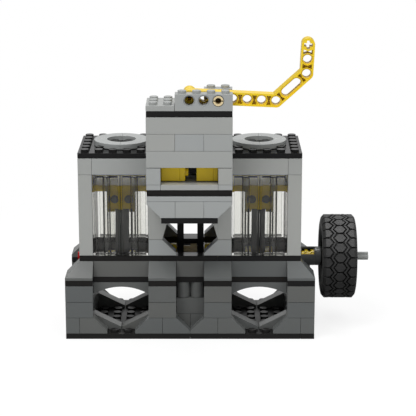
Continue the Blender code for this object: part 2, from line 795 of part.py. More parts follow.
def valve_gear():
    """The pair of rods that stand on the valve crank pin, and the slider that they drive in its chest."""
    pin_z = crank_z + valve_throw
    pivot = empty_at("valve_rods_axis", (0, 0, pin_z))
    inner, outer = valve_rod_in, valve_rod_in + thin_beam
    top_z = pin_z + valve_rod_length
    spacer_floor = pin_z + beam_radius + seat_gap + half_gap
    spacer = (spacer_floor, spacer_floor + spacer_height)
    piece = box("valve_rods", (-inner - bite, inner + bite), (-quarter_stud, quarter_stud), spacer, black)
    for side in (-1, 1):
        ends = (side * inner, side * outer)
        join(piece, bar_between("rod", (0, pin_z), (0, top_z), ends, black))
    past = outer + cut_past
    cut(piece, round_bar("pin_hole", hole_radius, (-past, 0, pin_z), (past, 0, pin_z), black, bore_sides))
    cut(piece, round_bar("top_hole", hole_radius, (-past, 0, top_z), (past, 0, top_z), black, bore_sides))
    carry(pivot, piece)

    half = valve_bore - slider_play
    floor = foot_top + brick + valve_throw / 2
    slide = empty_at("valve_slider_axis", (0, 0, top_z))
    slider = box("valve_slider", (-half, half), (-half, half), (floor, floor + slider_height), dark_grey)
    tongue = [(y, z) for z, y in stadium(floor - top_z + bite, beam_radius, start=top_z)]
    join(slider, prism("tongue", "YZ", tongue, (-tongue_half, tongue_half), dark_grey))
    carry(slide, slider)


def throttle():
    """The bent lever on its pin, the link and shutter that it lifts, and the blocks on each side of the gap."""
    front, back = -tower_row + half_gap, -tower_back - half_gap
    pivot = empty_at("throttle_lever_axis", (lever_pivot_x, (front + back) / 2, lever_z))
    lever = lever_beam(front, back)
    carry(pivot, lever)

    start, end = (lever_pivot_x, -tower_front, lever_z), (lever_pivot_x, -wall_front - half_gap, lever_z)
    round_bar("lever_pin", axle_radius, start, end, tan)

    slide = empty_at("throttle_gate_axis", (0, link_y(), lever_z))
    end_z = lever_z + end_drop
    shutter_floor = slot_floor + seat_gap + end_drop + quarter_stud
    start, end = (0, link_y(), shutter_floor + bite), (0, link_y(), end_z)
    link = round_bar("throttle_gate", axle_radius, start, end, black)
    start, end = (0, back + seat_gap, end_z), (0, -wall_front, end_z)
    join(link, round_bar("link_head", bush_radius, start, end, black))
    shutter = (-tower_back + seat_gap, -tower_back + seat_gap + shutter_thickness)
    span = (shutter_floor, shutter_floor + shutter_height)
    join(link, box("shutter", (-shutter_side, shutter_side), shutter, span, black))
    carry(slide, link)

    low, high = slot_floor + seat_gap, slot_top - half_gap - seat_gap
    depth = (-tower_row, -tower_back)
    edge = chest_side - half_gap
    blocks = box("gate_blocks", (-edge, -gate_left), depth, (low, high), yellow)
    join(blocks, box("right_block", (gate_right, edge), depth, (low, high), yellow))
    bridge = (-gate_left - bite, gate_right + bite)
    rear_strip = (-tower_back - quarter_stud, -tower_back)
    join(blocks, box("bridge", bridge, rear_strip, (high - gate_bridge, high), yellow))
    nub = (low + high) / 2
    middle = -tower_row + half_stud
    start, end = (-gate_left - bite, middle, nub), (-gate_left + stud_height, middle, nub)
    join(blocks, round_bar("side_stud", stud_radius, start, end, yellow, stud_sides))


def bent_bar(path, radius, steps=8):
    """The outline of a flat bar of one width along a path, with round ends and its bends rounded outside."""
    def side_of(line):
        places = []
        for i, point in enumerate(line):
            before = (point - line[i - 1]).normalized() if i else None
            after = (line[i + 1] - point).normalized() if i + 1 < len(line) else None
            if before is None or after is None:
                along = after if before is None else before
                first = math.atan2(-along.x, along.y) - (math.pi / 2 if before is None else 0)
                places += arc(point, first, math.pi / 2)
                continue
            turn = before.angle_signed(after) * -1
            right_before = Vector((before.y, -before.x))
            right_after = Vector((after.y, -after.x))
            if turn > 0:
                places += arc(point, math.atan2(right_before.y, right_before.x), turn)
            else:
                middle = right_before + right_after
                places.append(point + middle * radius / (1 + right_before.dot(right_after)))
        return places

    def arc(centre, first, swing):
        count = max(2, round(steps * swing / (math.pi / 2)))
        angles = [first + swing * i / count for i in range(count + 1)]
        return [centre + Vector((math.cos(angle), math.sin(angle))) * radius for angle in angles]

    return side_of(path), side_of(path[::-1])


def lever_beam(front, back):
    """The lever: a thick beam with two bends of an eighth turn, its holes and the long slot between the bends."""
    reach = lever_bend + lever_rise
    path = [
        Vector((-lever_left, 0)), Vector((lever_bend, 0)), Vector((reach, lever_rise)), Vector((reach, lever_tip))
    ]

    def place(point):
        turned_down = Matrix.Rotation(-lever_tilt, 2) @ point
        return lever_pivot_x + turned_down.x, lever_z + turned_down.y

    def outline(line, radius):
        there, back_again = bent_bar(line, radius)
        points = there + back_again
        return [place(point) for i, point in enumerate(points) if (point - points[i - 1]).length > point_reach]

    piece = prism("throttle_lever", "XZ", outline(path, beam_radius), (front, back), yellow)
    past = (front - cut_past, back + cut_past)
    holes = [Vector((i * stud, 0)) for i in range(-2, 4)] + [path[1]]
    holes += [path[2] + Vector((0, i * stud)) for i in range(3)]
    for hole in holes:
        x, z = place(hole)
        cut(piece, round_bar("hole", hole_radius, (x, past[0], z), (x, past[1], z), yellow))
    middle = (path[1] + path[2]) / 2
    half_slot = (path[2] - path[1]).normalized() * stud * lever_slot_share
    slot = outline([middle - half_slot, middle + half_slot], axle_radius)
    cut(piece, prism("slot", "XZ", slot, past, yellow))
    return piece


crankcase()
cylinders()
valve_chest()
tower()
crankshaft()
pistons()
valve_gear()
throttle()
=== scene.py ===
import math
import bpy
from mathutils import Matrix, Vector


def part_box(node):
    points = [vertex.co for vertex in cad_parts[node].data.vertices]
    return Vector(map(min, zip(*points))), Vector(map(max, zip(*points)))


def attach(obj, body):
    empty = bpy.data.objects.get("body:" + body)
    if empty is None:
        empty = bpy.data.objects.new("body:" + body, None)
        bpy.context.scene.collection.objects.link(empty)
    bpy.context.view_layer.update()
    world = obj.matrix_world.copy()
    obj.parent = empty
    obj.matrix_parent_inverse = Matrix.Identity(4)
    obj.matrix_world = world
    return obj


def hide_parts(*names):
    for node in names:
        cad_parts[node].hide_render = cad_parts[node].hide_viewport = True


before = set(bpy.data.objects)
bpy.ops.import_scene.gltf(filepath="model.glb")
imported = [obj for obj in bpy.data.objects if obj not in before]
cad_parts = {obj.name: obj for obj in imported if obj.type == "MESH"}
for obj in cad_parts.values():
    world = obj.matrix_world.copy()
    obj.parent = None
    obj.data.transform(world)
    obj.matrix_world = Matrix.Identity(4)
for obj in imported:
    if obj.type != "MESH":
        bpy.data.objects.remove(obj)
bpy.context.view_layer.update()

# A desk model of a vacuum engine in toy building bricks: two clear-walled cylinders on an arched base,
# a throttle tower with a bent lever, and a tyre as the flywheel. Places below are in millimetres.
mm = 0.001
sides = {"left": -1, "right": 1}
rows = {"front": -1, "rear": 1}


def letGo():
    active = bpy.context.view_layer.objects.active
    if active and active.mode != "OBJECT":
        bpy.ops.object.mode_set(mode="OBJECT")
    bpy.ops.object.select_all(action="DESELECT")


def pick(*pieces):
    letGo()
    for piece in pieces:
        piece.select_set(True)
    bpy.context.view_layer.objects.active = pieces[0]


def newest(name):
    piece = bpy.context.object
    piece.name = name
    bpy.ops.object.transform_apply(location=True, rotation=True, scale=True)
    return piece


# X, y and z are the low and high ends, play is taken off all round
def block(name, x, y, z, play=0.0):
    letGo()
    spans = [(min(span) + play, max(span) - play) for span in (x, y, z)]
    bpy.ops.mesh.primitive_cube_add(
        size=1, location=[(low + high) / 2 * mm for low, high in spans],
        scale=[(high - low) * mm for low, high in spans])
    return newest(name)


# A round bar along an axis, with its place on the other two axes
def rod(name, axis, radius, start, end, across=(0, 0), facets=24):
    letGo()
    place = list(across)
    place.insert("xyz".index(axis), (start + end) / 2)
    turn = {"x": (0, math.pi / 2, 0), "y": (math.pi / 2, 0, 0), "z": (0, 0, 0)}[axis]
    bpy.ops.mesh.primitive_cylinder_add(
        vertices=facets, radius=radius * mm, depth=abs(end - start) * mm,
        location=[value * mm for value in place], rotation=turn)
    return newest(name)


def joinUp(name, pieces):
    pick(*pieces)
    if len(pieces) > 1:
        bpy.ops.object.join()
    pieces[0].name = name
    return pieces[0]


# Selects the points that pass the test and stays in edit mode
def choose(piece, test):
    pick(piece)
    bpy.ops.object.mode_set(mode="EDIT")
    bpy.ops.mesh.select_mode(type="VERT")
    bpy.ops.mesh.select_all(action="DESELECT")
    bpy.ops.object.mode_set(mode="OBJECT")
    for point in piece.data.vertices:
        point.select = bool(test(point.co / mm))
    bpy.ops.object.mode_set(mode="EDIT")


def shift(piece, test, move):
    choose(piece, test)
    bpy.ops.transform.translate(value=[step * mm for step in move])
    bpy.ops.object.mode_set(mode="OBJECT")


# Cuts an edge across the piece, and drops and closes the outer side if asked
def cutAcross(piece, place, normal, drop=None):
    choose(piece, lambda point: True)
    bpy.ops.mesh.bisect(
        plane_co=[value * mm for value in place], plane_no=normal, use_fill=drop is not None,
        clear_outer=drop == "outer", clear_inner=drop == "inner")
    bpy.ops.object.mode_set(mode="OBJECT")


# Slopes one side of a brick down to a lip, or its underside up to one
def slant(piece, axis, sign, run, upward=False, lip=1.6):
    i = "xyz".index(axis)
    ends = [corner[i] / mm for corner in piece.bound_box]
    heights = [corner[2] / mm for corner in piece.bound_box]
    outer = max(ends) if sign > 0 else min(ends)
    low, high = min(heights), max(heights)
    normal = [0, 0, 0]
    normal[i] = 1
    if run < max(ends) - min(ends) - 0.01:
        place = [0, 0, 0]
        place[i] = outer - sign * run
        cutAcross(piece, place, normal)
    level, drop = (low, high - low - lip) if upward else (high, lip - high + low)
    shift(piece, lambda p: abs(p[i] - outer) < 0.01 and abs(p.z - level) < 0.01, (0, 0, drop))


def carve(piece, tools, operation="DIFFERENCE"):
    tool = joinUp("tool", tools)
    change = piece.modifiers.new("carve", "BOOLEAN")
    change.operation, change.solver, change.object = operation, "EXACT", tool
    pick(piece)
    bpy.ops.object.modifier_apply(modifier=change.name)
    bpy.data.objects.remove(tool, do_unlink=True)
    return piece


def weld(piece):
    choose(piece, lambda point: True)
    bpy.ops.mesh.remove_doubles(threshold=0.00001)
    bpy.ops.mesh.normals_make_consistent(inside=False)
    bpy.ops.object.mode_set(mode="OBJECT")
    return piece


# Flat faces keep their own shading beside a small radius
def evenShading(piece):
    level = piece.modifiers.new("level", "WEIGHTED_NORMAL")
    level.mode, level.weight, level.keep_sharp = "FACE_AREA", 50, True
    pick(piece)
    bpy.ops.object.modifier_apply(modifier=level.name)
    return piece


# A small moulded radius on the sharp edges, and smooth shading
def soften(piece, width=0.2, segments=2, angle=35):
    edge = piece.modifiers.new("edge", "BEVEL")
    edge.width, edge.segments, edge.limit_method = width * mm, segments, "ANGLE"
    edge.angle_limit, edge.miter_outer = math.radians(angle), "MITER_ARC"
    edge.use_clamp_overlap, edge.harden_normals = True, False
    pick(piece)
    bpy.ops.object.modifier_apply(modifier=edge.name)
    bpy.ops.object.shade_smooth_by_angle(angle=math.radians(angle))
    return evenShading(piece)


# Copies of a pattern moved to each place, each with its own mesh; after its last use the pattern goes
def copies(pattern, places, turns=None, lastUse=False):
    made = []
    for i, place in enumerate(places):
        twin = pattern.copy()
        twin.data = pattern.data.copy()
        if turns:
            twin.data.transform(turns[i])
        twin.data.transform(Matrix.Translation(Vector(place) * mm))
        bpy.context.scene.collection.objects.link(twin)
        made.append(twin)
    if lastUse:
        bpy.data.objects.remove(pattern, do_unlink=True)
    return made


# A number from 0 to 1 for each brick, which its material turns into a slight change of shade
def tint(piece, value=None):
    centre = sum((point.co for point in piece.data.vertices), Vector()) / len(piece.data.vertices) / mm
    if value is None:
        value = abs(math.sin(centre.x * 0.37 + centre.y * 0.73 + centre.z * 1.13) * 97.3) % 1
    layer = piece.data.attributes.new("tint", "FLOAT", "POINT")
    layer.data.foreach_set("value", [value] * len(piece.data.vertices))
    return piece


# Soft edges on a moulded part, and then its shade
def polish(part, edge=0.12, shade=None, angle=30):
    return tint(soften(part, edge, 2, angle), shade)


# Places holds x, y, z of each brick, and any slants: axis, side, run, and True for an inverted one
def bricks(name, places, flip=(1, 1), play=0.05):
    made = []
    for x, y, z, *slants in places:
        piece = block(name, [v * flip[0] for v in x], [v * flip[1] for v in y], z, play)
        for axis, sign, run, *upward in slants:
            slant(piece, axis, sign * flip["xy".index(axis)], run, bool(upward))
        made.append(tint(piece))
    return joinUp(name, made)


studSize = {"radius": 2.4, "height": 1.7, "edge": 0.22, "facets": 20}


def makeStud():
    pattern = rod("stud", "z", studSize["radius"], -0.6, studSize["height"], facets=studSize["facets"])
    pick(pattern)
    bpy.ops.object.mode_set(mode="EDIT")
    bpy.ops.mesh.select_mode(type="FACE")
    bpy.ops.mesh.select_all(action="DESELECT")
    bpy.ops.object.mode_set(mode="OBJECT")
    for face in pattern.data.polygons:
        face.select = face.normal.z > 0.9
    bpy.ops.object.mode_set(mode="EDIT")
    bpy.ops.mesh.bevel(offset=studSize["edge"] * mm, segments=2, affect="EDGES")
    bpy.ops.mesh.select_all(action="DESELECT")
    bpy.ops.object.mode_set(mode="OBJECT")
    bpy.ops.object.shade_smooth_by_angle(angle=math.radians(40))
    return tint(evenShading(pattern), 0.5)


studPattern = makeStud()


def studRow(start, count):
    return [start + 4 + 8 * i for i in range(count)]


def withStuds(piece, places, top):
    return joinUp(piece.name, [piece] + copies(studPattern, [(x, y, top) for x, y in places]))


# Gives a finished piece its material and slot, the body it rides on and the CAD parts it stands for
def dress(piece, finish, *nodes, body="engine"):
    piece.data.materials.clear()
    piece.data.materials.append(materials[finish])
    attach(piece, body)
    if nodes:
        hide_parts(*nodes)
    return piece


# Bricks of one colour as one finished piece, with cuts before the edges are softened and studs after
def course(name, places, finish, *nodes, edge=0.2, cuts=(), studs=(), top=0, **how):
    piece = bricks(name, places, **how)
    if cuts:
        carve(piece, cuts)
    soften(piece, edge)
    if studs:
        withStuds(piece, studs, top)
    return dress(piece, finish, *nodes)


def socketed(name, inputs, outputs):
    group = bpy.data.node_groups.new(name, "ShaderNodeTree")
    for label, kind, value in inputs:
        socket = group.interface.new_socket(label, in_out="INPUT", socket_type=kind)
        if value is not None:
            socket.default_value = value
    for label, kind in outputs:
        group.interface.new_socket(label, in_out="OUTPUT", socket_type=kind)
    return group, group.nodes.new("NodeGroupInput"), group.nodes.new("NodeGroupOutput")


def mathNode(tree, operation, *values):
    node = tree.nodes.new("ShaderNodeMath")
    node.operation = operation
    for i, value in enumerate(values):
        if isinstance(value, (int, float)):
            node.inputs[i].default_value = value
        else:
            tree.links.new(value, node.inputs[i])
    return node.outputs[0]


def noise(tree, place, scale, detail=2.0):
    node = tree.nodes.new("ShaderNodeTexNoise")
    node.inputs["Detail"].default_value = detail
    tree.links.new(place, node.inputs["Vector"])
    if isinstance(scale, (int, float)):
        node.inputs["Scale"].default_value = scale
    else:
        tree.links.new(scale, node.inputs["Scale"])
    return node.outputs["Fac"]


# Moulded plastic: a shade of its own for each brick, faint clouding, hand marks in the gloss, fine grain
def makeMouldedSurface():
    colour = "NodeSocketColor"
    number = "NodeSocketFloat"
    group, given, result = socketed(
        "mouldedSurface",
        [("Cool", colour, None), ("Warm", colour, None), ("Clouding", number, 0.05),
         ("Roughness", number, 0.2), ("Hand Marks", number, 0.1), ("Grain Scale", number, 1500.0)],
        [("Colour", colour), ("Roughness", number), ("Height", number)])
    link = group.links.new
    place = group.nodes.new("ShaderNodeTexCoord").outputs["Object"]
    shade = group.nodes.new("ShaderNodeAttribute")
    shade.attribute_name = "tint"
    cloud = noise(group, place, 38.0, 3.0)
    mixed = group.nodes.new("ShaderNodeMix")
    mixed.data_type = "RGBA"
    blend = mathNode(group, "ADD", mathNode(group, "MULTIPLY", shade.outputs["Fac"], 0.8),
                     mathNode(group, "MULTIPLY", cloud, 0.2))
    link(blend, mixed.inputs["Factor"])
    link(given.outputs["Cool"], mixed.inputs["A"])
    link(given.outputs["Warm"], mixed.inputs["B"])
    value = group.nodes.new("ShaderNodeHueSaturation")
    swing = mathNode(group, "MULTIPLY", mathNode(group, "SUBTRACT", cloud, 0.5), given.outputs["Clouding"])
    link(mathNode(group, "ADD", swing, 1.0), value.inputs["Value"])
    link(mixed.outputs["Result"], value.inputs["Color"])
    link(value.outputs["Color"], result.inputs["Colour"])
    marks = noise(group, place, 160.0, 5.0)
    rub = mathNode(group, "MULTIPLY", mathNode(group, "SUBTRACT", marks, 0.45), given.outputs["Hand Marks"])
    link(mathNode(group, "ADD", rub, given.outputs["Roughness"]), result.inputs["Roughness"])
    grain = noise(group, place, given.outputs["Grain Scale"], 2.0)
    sink = noise(group, place, 70.0, 1.0)
    link(mathNode(group, "ADD", mathNode(group, "MULTIPLY", grain, 0.25), sink), result.inputs["Height"])
    return group


mouldedSurface = makeMouldedSurface()

# Cool and warm are the ends of the slight changes of shade, and a finish names only what isn't plain
plainLook = {"marks": 0.12, "grain": 1500, "bump": 0.1, "depth": 0.0003, "clear": 0.0, "solid": 1,
             "shown": "warm"}
finishes = {
    "blackPlastic": {"cool": (0.0135, 0.0135, 0.014), "warm": (0.0155, 0.0148, 0.014), "roughness": 0.16,
                     "clouding": 0.1, "ior": 1.4, "slot": "black_brick"},
    "dullBlackPlastic": {"cool": (0.0135, 0.0135, 0.014), "warm": (0.0155, 0.0148, 0.014), "roughness": 0.42,
                         "clouding": 0.1, "ior": 1.4, "slot": "black_brick"},
    "darkGreyPlastic": {"cool": (0.109, 0.117, 0.118), "warm": (0.119, 0.121, 0.115), "roughness": 0.2,
                        "clouding": 0.06, "ior": 1.45, "slot": "dark_grey_brick"},
    "lightGreyPlastic": {"cool": (0.322, 0.338, 0.339), "warm": (0.342, 0.348, 0.332), "roughness": 0.2,
                         "clouding": 0.05, "ior": 1.5, "slot": "light_grey_brick"},
    "yellowPlastic": {"cool": (0.79, 0.56, 0.018), "warm": (0.83, 0.59, 0.022), "roughness": 0.2,
                      "clouding": 0.05, "marks": 0.1, "ior": 1.48, "slot": "yellow_brick"},
    "tanPlastic": {"cool": (0.66, 0.54, 0.32), "warm": (0.7, 0.57, 0.34), "roughness": 0.22,
                   "clouding": 0.05, "marks": 0.1, "ior": 1.48, "slot": "tan_brick"},
    "redPlastic": {"cool": (0.42, 0.008, 0.008), "warm": (0.48, 0.01, 0.008), "roughness": 0.2,
                   "clouding": 0.05, "marks": 0.1, "ior": 1.48, "slot": "red_axle"},
    "clearPlastic": {"cool": (0.955, 0.955, 0.94), "warm": (0.955, 0.955, 0.94), "roughness": 0.01,
                     "clouding": 0.02, "marks": 0.01, "bump": 0, "ior": 1.42, "clear": 1.0, "solid": 0.3,
                     "slot": "clear_brick"},
    # the tyre's warm end is painted light: a lighter tone for its side walls, which stand in shade
    "tyreRubber": {"cool": (0.004, 0.004, 0.004), "warm": (0.07, 0.07, 0.07), "roughness": 0.52,
                   "clouding": 0.3, "marks": 0.25, "grain": 2600, "bump": 0.35, "depth": 0.0002, "ior": 1.5,
                   "shown": "cool", "slot": "tyre_rubber"},
}


def makeFinish(name, given):
    look = {**plainLook, **given}
    material = bpy.data.materials.new(name)
    material.use_nodes = True
    tree = material.node_tree
    link = tree.links.new
    surface = tree.nodes["Principled BSDF"]
    moulded = tree.nodes.new("ShaderNodeGroup")
    moulded.node_tree = mouldedSurface
    moulded.inputs["Cool"].default_value = (*look["cool"], 1)
    moulded.inputs["Warm"].default_value = (*look["warm"], 1)
    moulded.inputs["Clouding"].default_value = look["clouding"]
    moulded.inputs["Roughness"].default_value = look["roughness"]
    moulded.inputs["Hand Marks"].default_value = look["marks"]
    moulded.inputs["Grain Scale"].default_value = look["grain"]
    link(moulded.outputs["Colour"], surface.inputs["Base Color"])
    link(moulded.outputs["Roughness"], surface.inputs["Roughness"])
    if look["bump"]:
        bump = tree.nodes.new("ShaderNodeBump")
        bump.inputs["Strength"].default_value = look["bump"]
        bump.inputs["Distance"].default_value = look["depth"]
        link(moulded.outputs["Height"], bump.inputs["Height"])
        link(bump.outputs["Normal"], surface.inputs["Normal"])
    surface.inputs["IOR"].default_value = look["ior"]
    surface.inputs["Transmission Weight"].default_value = look["clear"]
    material.diffuse_color = (*look[look["shown"]], look["solid"])
    return material


materials = {name: makeFinish(name, look) for name, look in finishes.items()}

# CAD parts that stay get the finish of their plastic, whose name there is the same in small letters
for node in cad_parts.values():
    for slot in node.material_slots:
        plainName = slot.material.name.replace("_", "") if slot.material else ""
        for name, material in materials.items():
            if plainName.startswith(name.lower()):
                slot.material = material
print("finishes made")

# Heights of the courses, how far the third stands out at the front, and the heights of the moving centres
courses = {"first": (3.2, 12.8), "second": (12.8, 22.4), "third": (22.4, 32.0), "belt": (32.0, 35.2),
           "slopes": (35.2, 44.8), "deck": (44.8, 48.0)}
proudBy = {-1: 0.25, 1: 0}
crankHeight = 41.0
valvePinHeight = 45.0
wristHeight = 71.984
leverPivot = (16, 143.4)
bores = {"pin": 2.45, "axle": 2.5, "rim": 3.1, "bush": 3.68}


def makeBasePlate():
    plate = {"ends": (-72, -64, 0, 64, 72), "front": 32, "top": 3.15, "hollowTop": 3.2, "wall": 1.4,
             "tube": 3.25, "tubeHole": 2.4, "tubeTop": 2.0, "studs": 3.1}
    spans = list(zip(plate["ends"], plate["ends"][1:]))
    front, wall = plate["front"], plate["wall"]
    piece = bricks("basePlateBlack", [(x, (-front, front), (0, plate["top"])) for x in spans], play=0.03)
    inside, roof = (wall - front, front - wall), plate["hollowTop"] - wall
    carve(piece, [block("hollow", (a + wall, b - wall), inside, (-1, roof)) for a, b in spans])
    soften(piece, 0.12)
    tube = rod("tube", "z", plate["tube"], 0.03, plate["tubeTop"], facets=20)
    carve(tube, [rod("hole", "z", plate["tubeHole"], -1, plate["tubeTop"] - 0.3, facets=20)])
    soften(tube, 0.08, 1)
    tint(tube, 0.5)
    centres = [(x, y, 0) for x in (*range(-56, 0, 8), *range(8, 64, 8)) for y in range(-24, 32, 8)]
    piece = joinUp("basePlateBlack", [piece] + copies(tube, centres, lastUse=True))
    inner = [(x, y) for x in studRow(-56, 14) for y in studRow(-16, 4)]
    outer = [(x * side, 28 * row) for x in (36, 44) for side in (-1, 1) for row in (-1, 1)]
    withStuds(piece, inner + outer, plate["studs"])
    dress(piece, "dullBlackPlastic", "base_plate")


def makeEndWall(sideName, side):
    first, second, third = courses["first"], courses["second"], courses["third"]
    places = []
    for row in (-1, 1):
        corner, outer, inner = (32 * row, 16 * row), (32 * row, 24 * row), (24 * row, 16 * row)
        places += [
            ((64, 72), corner, first),
            ((48, 64), outer, first, ("x", -1, 8)),
            ((40.2, 64), inner, first, ("x", -1, 15.8)),
            ((56, 72), corner, second),
            ((56, 72), ((32 + proudBy[row]) * row, 16 * row), third),
        ]
    places += [((56, 64), (-16, 16), z) for z in (first, second, third)]
    course(f"endWall{sideName.title()}", places, "darkGreyPlastic", f"end_wall_{sideName}", flip=(side, 1))


def makeCentrePier(rowName, row):
    first, second, third = courses["first"], courses["second"], courses["third"]
    outer, inner = (24, 32), (16, 24)
    pillar = {"radius": 3.85, "collar": 3.3, "span": (22.45, 31.95), "collarSpan": (22.40, 23.2), "apart": 8}
    places = []
    for side in (-1, 1):
        places += [
            ((16 * side, 32 * side), outer, first, ("x", side, 8)),
            ((0, 16 * side), outer, first, ("x", -side, 8)),
            ((24 * side, 39.8 * side), inner, first, ("x", side, 15.8)),
            ((0, 24 * side), inner, first),
            ((8 * side, 24 * side), (16, 32), second),
            ((8 * side, 24 * side), (16, 32 + proudBy[row]), third),
        ]
    places += [((-8, 8), inner, second), ((-8, 8), (16, 20), third)]
    piece = bricks(f"centrePier{rowName.title()}", places, flip=(1, row))
    soften(piece)
    centre = (pillar["apart"] / 2, 20 * row)
    roundBrick = rod("roundBrick", "z", pillar["radius"], *pillar["span"], centre, 32)
    collar = rod("collar", "z", pillar["collar"], *pillar["collarSpan"], centre, 32)
    soften(roundBrick, 0.2)
    joined = joinUp("roundBrick", [tint(part, 0.6) for part in (roundBrick, collar)])
    pair = [joined] + copies(joined, [(-pillar["apart"], 0, 0)])
    piece = joinUp(piece.name, [piece] + pair)
    bpy.ops.object.shade_smooth_by_angle(angle=math.radians(35))
    dress(piece, "darkGreyPlastic", f"centre_pier_{rowName}")


def makeArch(rowName, row, sideName, side):
    arch = {"radius": 31.0, "crown": 29.2, "inner": 24.08, "outer": 55.92, "spring": 24.2}
    span = (arch["inner"] * side, arch["outer"] * side)
    piece = block(f"arch{rowName.title()}{sideName.title()}", span, (16.05 * row, 23.95 * row), (23.5, 31.95))
    middle = (arch["inner"] + arch["outer"]) / 2 * side
    centre = (middle, arch["crown"] - arch["radius"])
    carve(piece, [rod("curve", "y", arch["radius"], 12 * row, 28 * row, centre, 160)])
    cutAcross(piece, (0, 0, arch["spring"]), (0, 0, 1))
    tint(piece)
    soften(piece, 0.14, 2, 30)
    dress(piece, "darkGreyPlastic", f"arch_{rowName}_{sideName}")


def makeBelt():
    z = courses["belt"]
    places = []
    for row in (-1, 1):
        wide, narrow = (16 * row, 32 * row), (16 * row, 24 * row)
        for side in (-1, 1):
            places += [
                ((56 * side, 72 * side), wide, z),
                ((8 * side, 24 * side), wide, z),
                ((24 * side, 56 * side), narrow, z),
            ]
        places.append(((-8, 8), narrow, z))
    places += [((56 * side, 64 * side), (-16, 16), z) for side in (-1, 1)]
    course("beltPlates", places, "blackPlastic", "belt_plate", edge=0.12)


def makeSlopeCourse(rowName, row):
    slope = {"foot": 36.85, "top": 44.75, "run": 8, "play": 0.05}
    z = courses["slopes"]
    places = []
    for side in (-1, 1):
        places.append(((8 * side, 24 * side), (16, 32), z, ("y", 1, slope["run"])))
        places.append(((24 * side, 56 * side), (16, 24), z))
    places.append(((-8, 8), (16, 24), z))
    piece = bricks(f"slopeCourse{rowName.title()}", places, flip=(1, row))
    corners = []
    for side in (-1, 1):
        corner = block("corner", (56 * side, 72 * side), (16 * row, 32 * row), z, slope["play"])
        run = slope["run"] / (slope["top"] - slope["foot"])
        cutAcross(corner, ((72 - slope["play"]) * side, 0, slope["foot"]), (side, 0, run), "outer")
        cutAcross(corner, (0, (32 - slope["play"]) * row, slope["foot"]), (0, row, run), "outer")
        corners.append(tint(corner))
    piece = joinUp(piece.name, [piece] + corners)
    soften(piece)
    dress(piece, "darkGreyPlastic", f"slope_course_{rowName}")


def makeBearing(name, node, x):
    bearing = {"spots": (-8, 0, 8), "rimDepth": 0.95, "inset": 0.1, "play": 0.16}
    piece = block(name, x, (-16, 16), courses["slopes"], bearing["play"])
    middle = sum(x) / 2
    centres = [(y, crankHeight) for y in bearing["spots"]]
    carve(piece, [rod("hole", "x", bores["pin"], middle - 9, middle + 9, centre, 32) for centre in centres])
    depth = bearing["rimDepth"]
    ends = (min(x) + bearing["inset"], max(x) - bearing["inset"])
    carve(piece, [rod("rim", "x", bores["rim"], end - depth, end + depth, centre, 32)
                  for centre in centres for end in ends])
    tint(piece)
    soften(piece, 0.12)
    dress(piece, "darkGreyPlastic", node)


def makeDeck():
    z = courses["deck"]
    places = []
    for row in (-1, 1):
        y = (16 * row, 24 * row)
        places.append(((-16, 16), y, z))
        places += [((16 * side, 64 * side), y, z) for side in (-1, 1)]
    for side in (-1, 1):
        places += [((56 * side, 64 * side), (-16, 16), z), ((16 * side, 24 * side), (-16, 16), z)]
    course("deckPlates", places, "blackPlastic", "deck_plate", edge=0.12)


makeBasePlate()
for sideName, side in sides.items():
    makeEndWall(sideName, side)
for rowName, row in rows.items():
    makeCentrePier(rowName, row)
    for sideName, side in sides.items():
        makeArch(rowName, row, sideName, side)
makeBelt()
for rowName, row in rows.items():
    makeSlopeCourse(rowName, row)
for sideName, side in sides.items():
    makeBearing(f"axleBrick{sideName.title()}", f"axle_brick_{sideName}", (56 * side, 64 * side))
    makeBearing(f"innerBearing{sideName.title()}", f"inner_bearing_{sideName}", (16 * side, 24 * side))
makeDeck()
print("crankcase made")


def makeCylinderFrame(sideName, side):
    walls = {"wall": (48.0, 96.0), "lintel": (96.0, 105.6), "inner": 16.1, "lining": 23.8}
    lintel, inner = walls["lintel"], walls["inner"]
    places = [((56, 64), (y, y + 16), walls["wall"]) for y in (-24, -8, 8)]
    places.append(((56, 64), (-24, 24), lintel))
    places += [((inner, 56), (16 * row, 24 * row), lintel) for row in (-1, 1)]
    places.append(((inner, walls["lining"]), (-16, 16), lintel))
    name, node = f"cylinderFrame{sideName.title()}", f"cylinder_frame_{sideName}"
    course(name, places, "lightGreyPlastic", node, flip=(side, 1))


def makeInnerWall(sideName, side):
    gap = {"levels": (48.0, 57.6, 67.2, 76.8, 86.4), "brick": 9.6, "inner": 16.1}
    places = []
    for row in (-1, 1):
        y = (16 * row, 24 * row)
        places += [
            ((8, 24), y, (48.0, 57.6), ("x", -1, 8)),
            ((8, 24), y, (57.6, 86.4), ("x", -1, 8, True)),
            ((gap["inner"], 24), y, (86.4, 96.0)),
        ]
    name, node = f"gapJambs{sideName.title()}", f"inner_wall_{sideName}"
    course(name, places, "lightGreyPlastic", node, flip=(side, 1), play=0.08)
    middle = [((gap["inner"], 24), (-16, 16), (z, z + gap["brick"])) for z in gap["levels"]]
    course(f"gapWall{sideName.title()}", middle, "blackPlastic", flip=(side, 1), play=0.08)


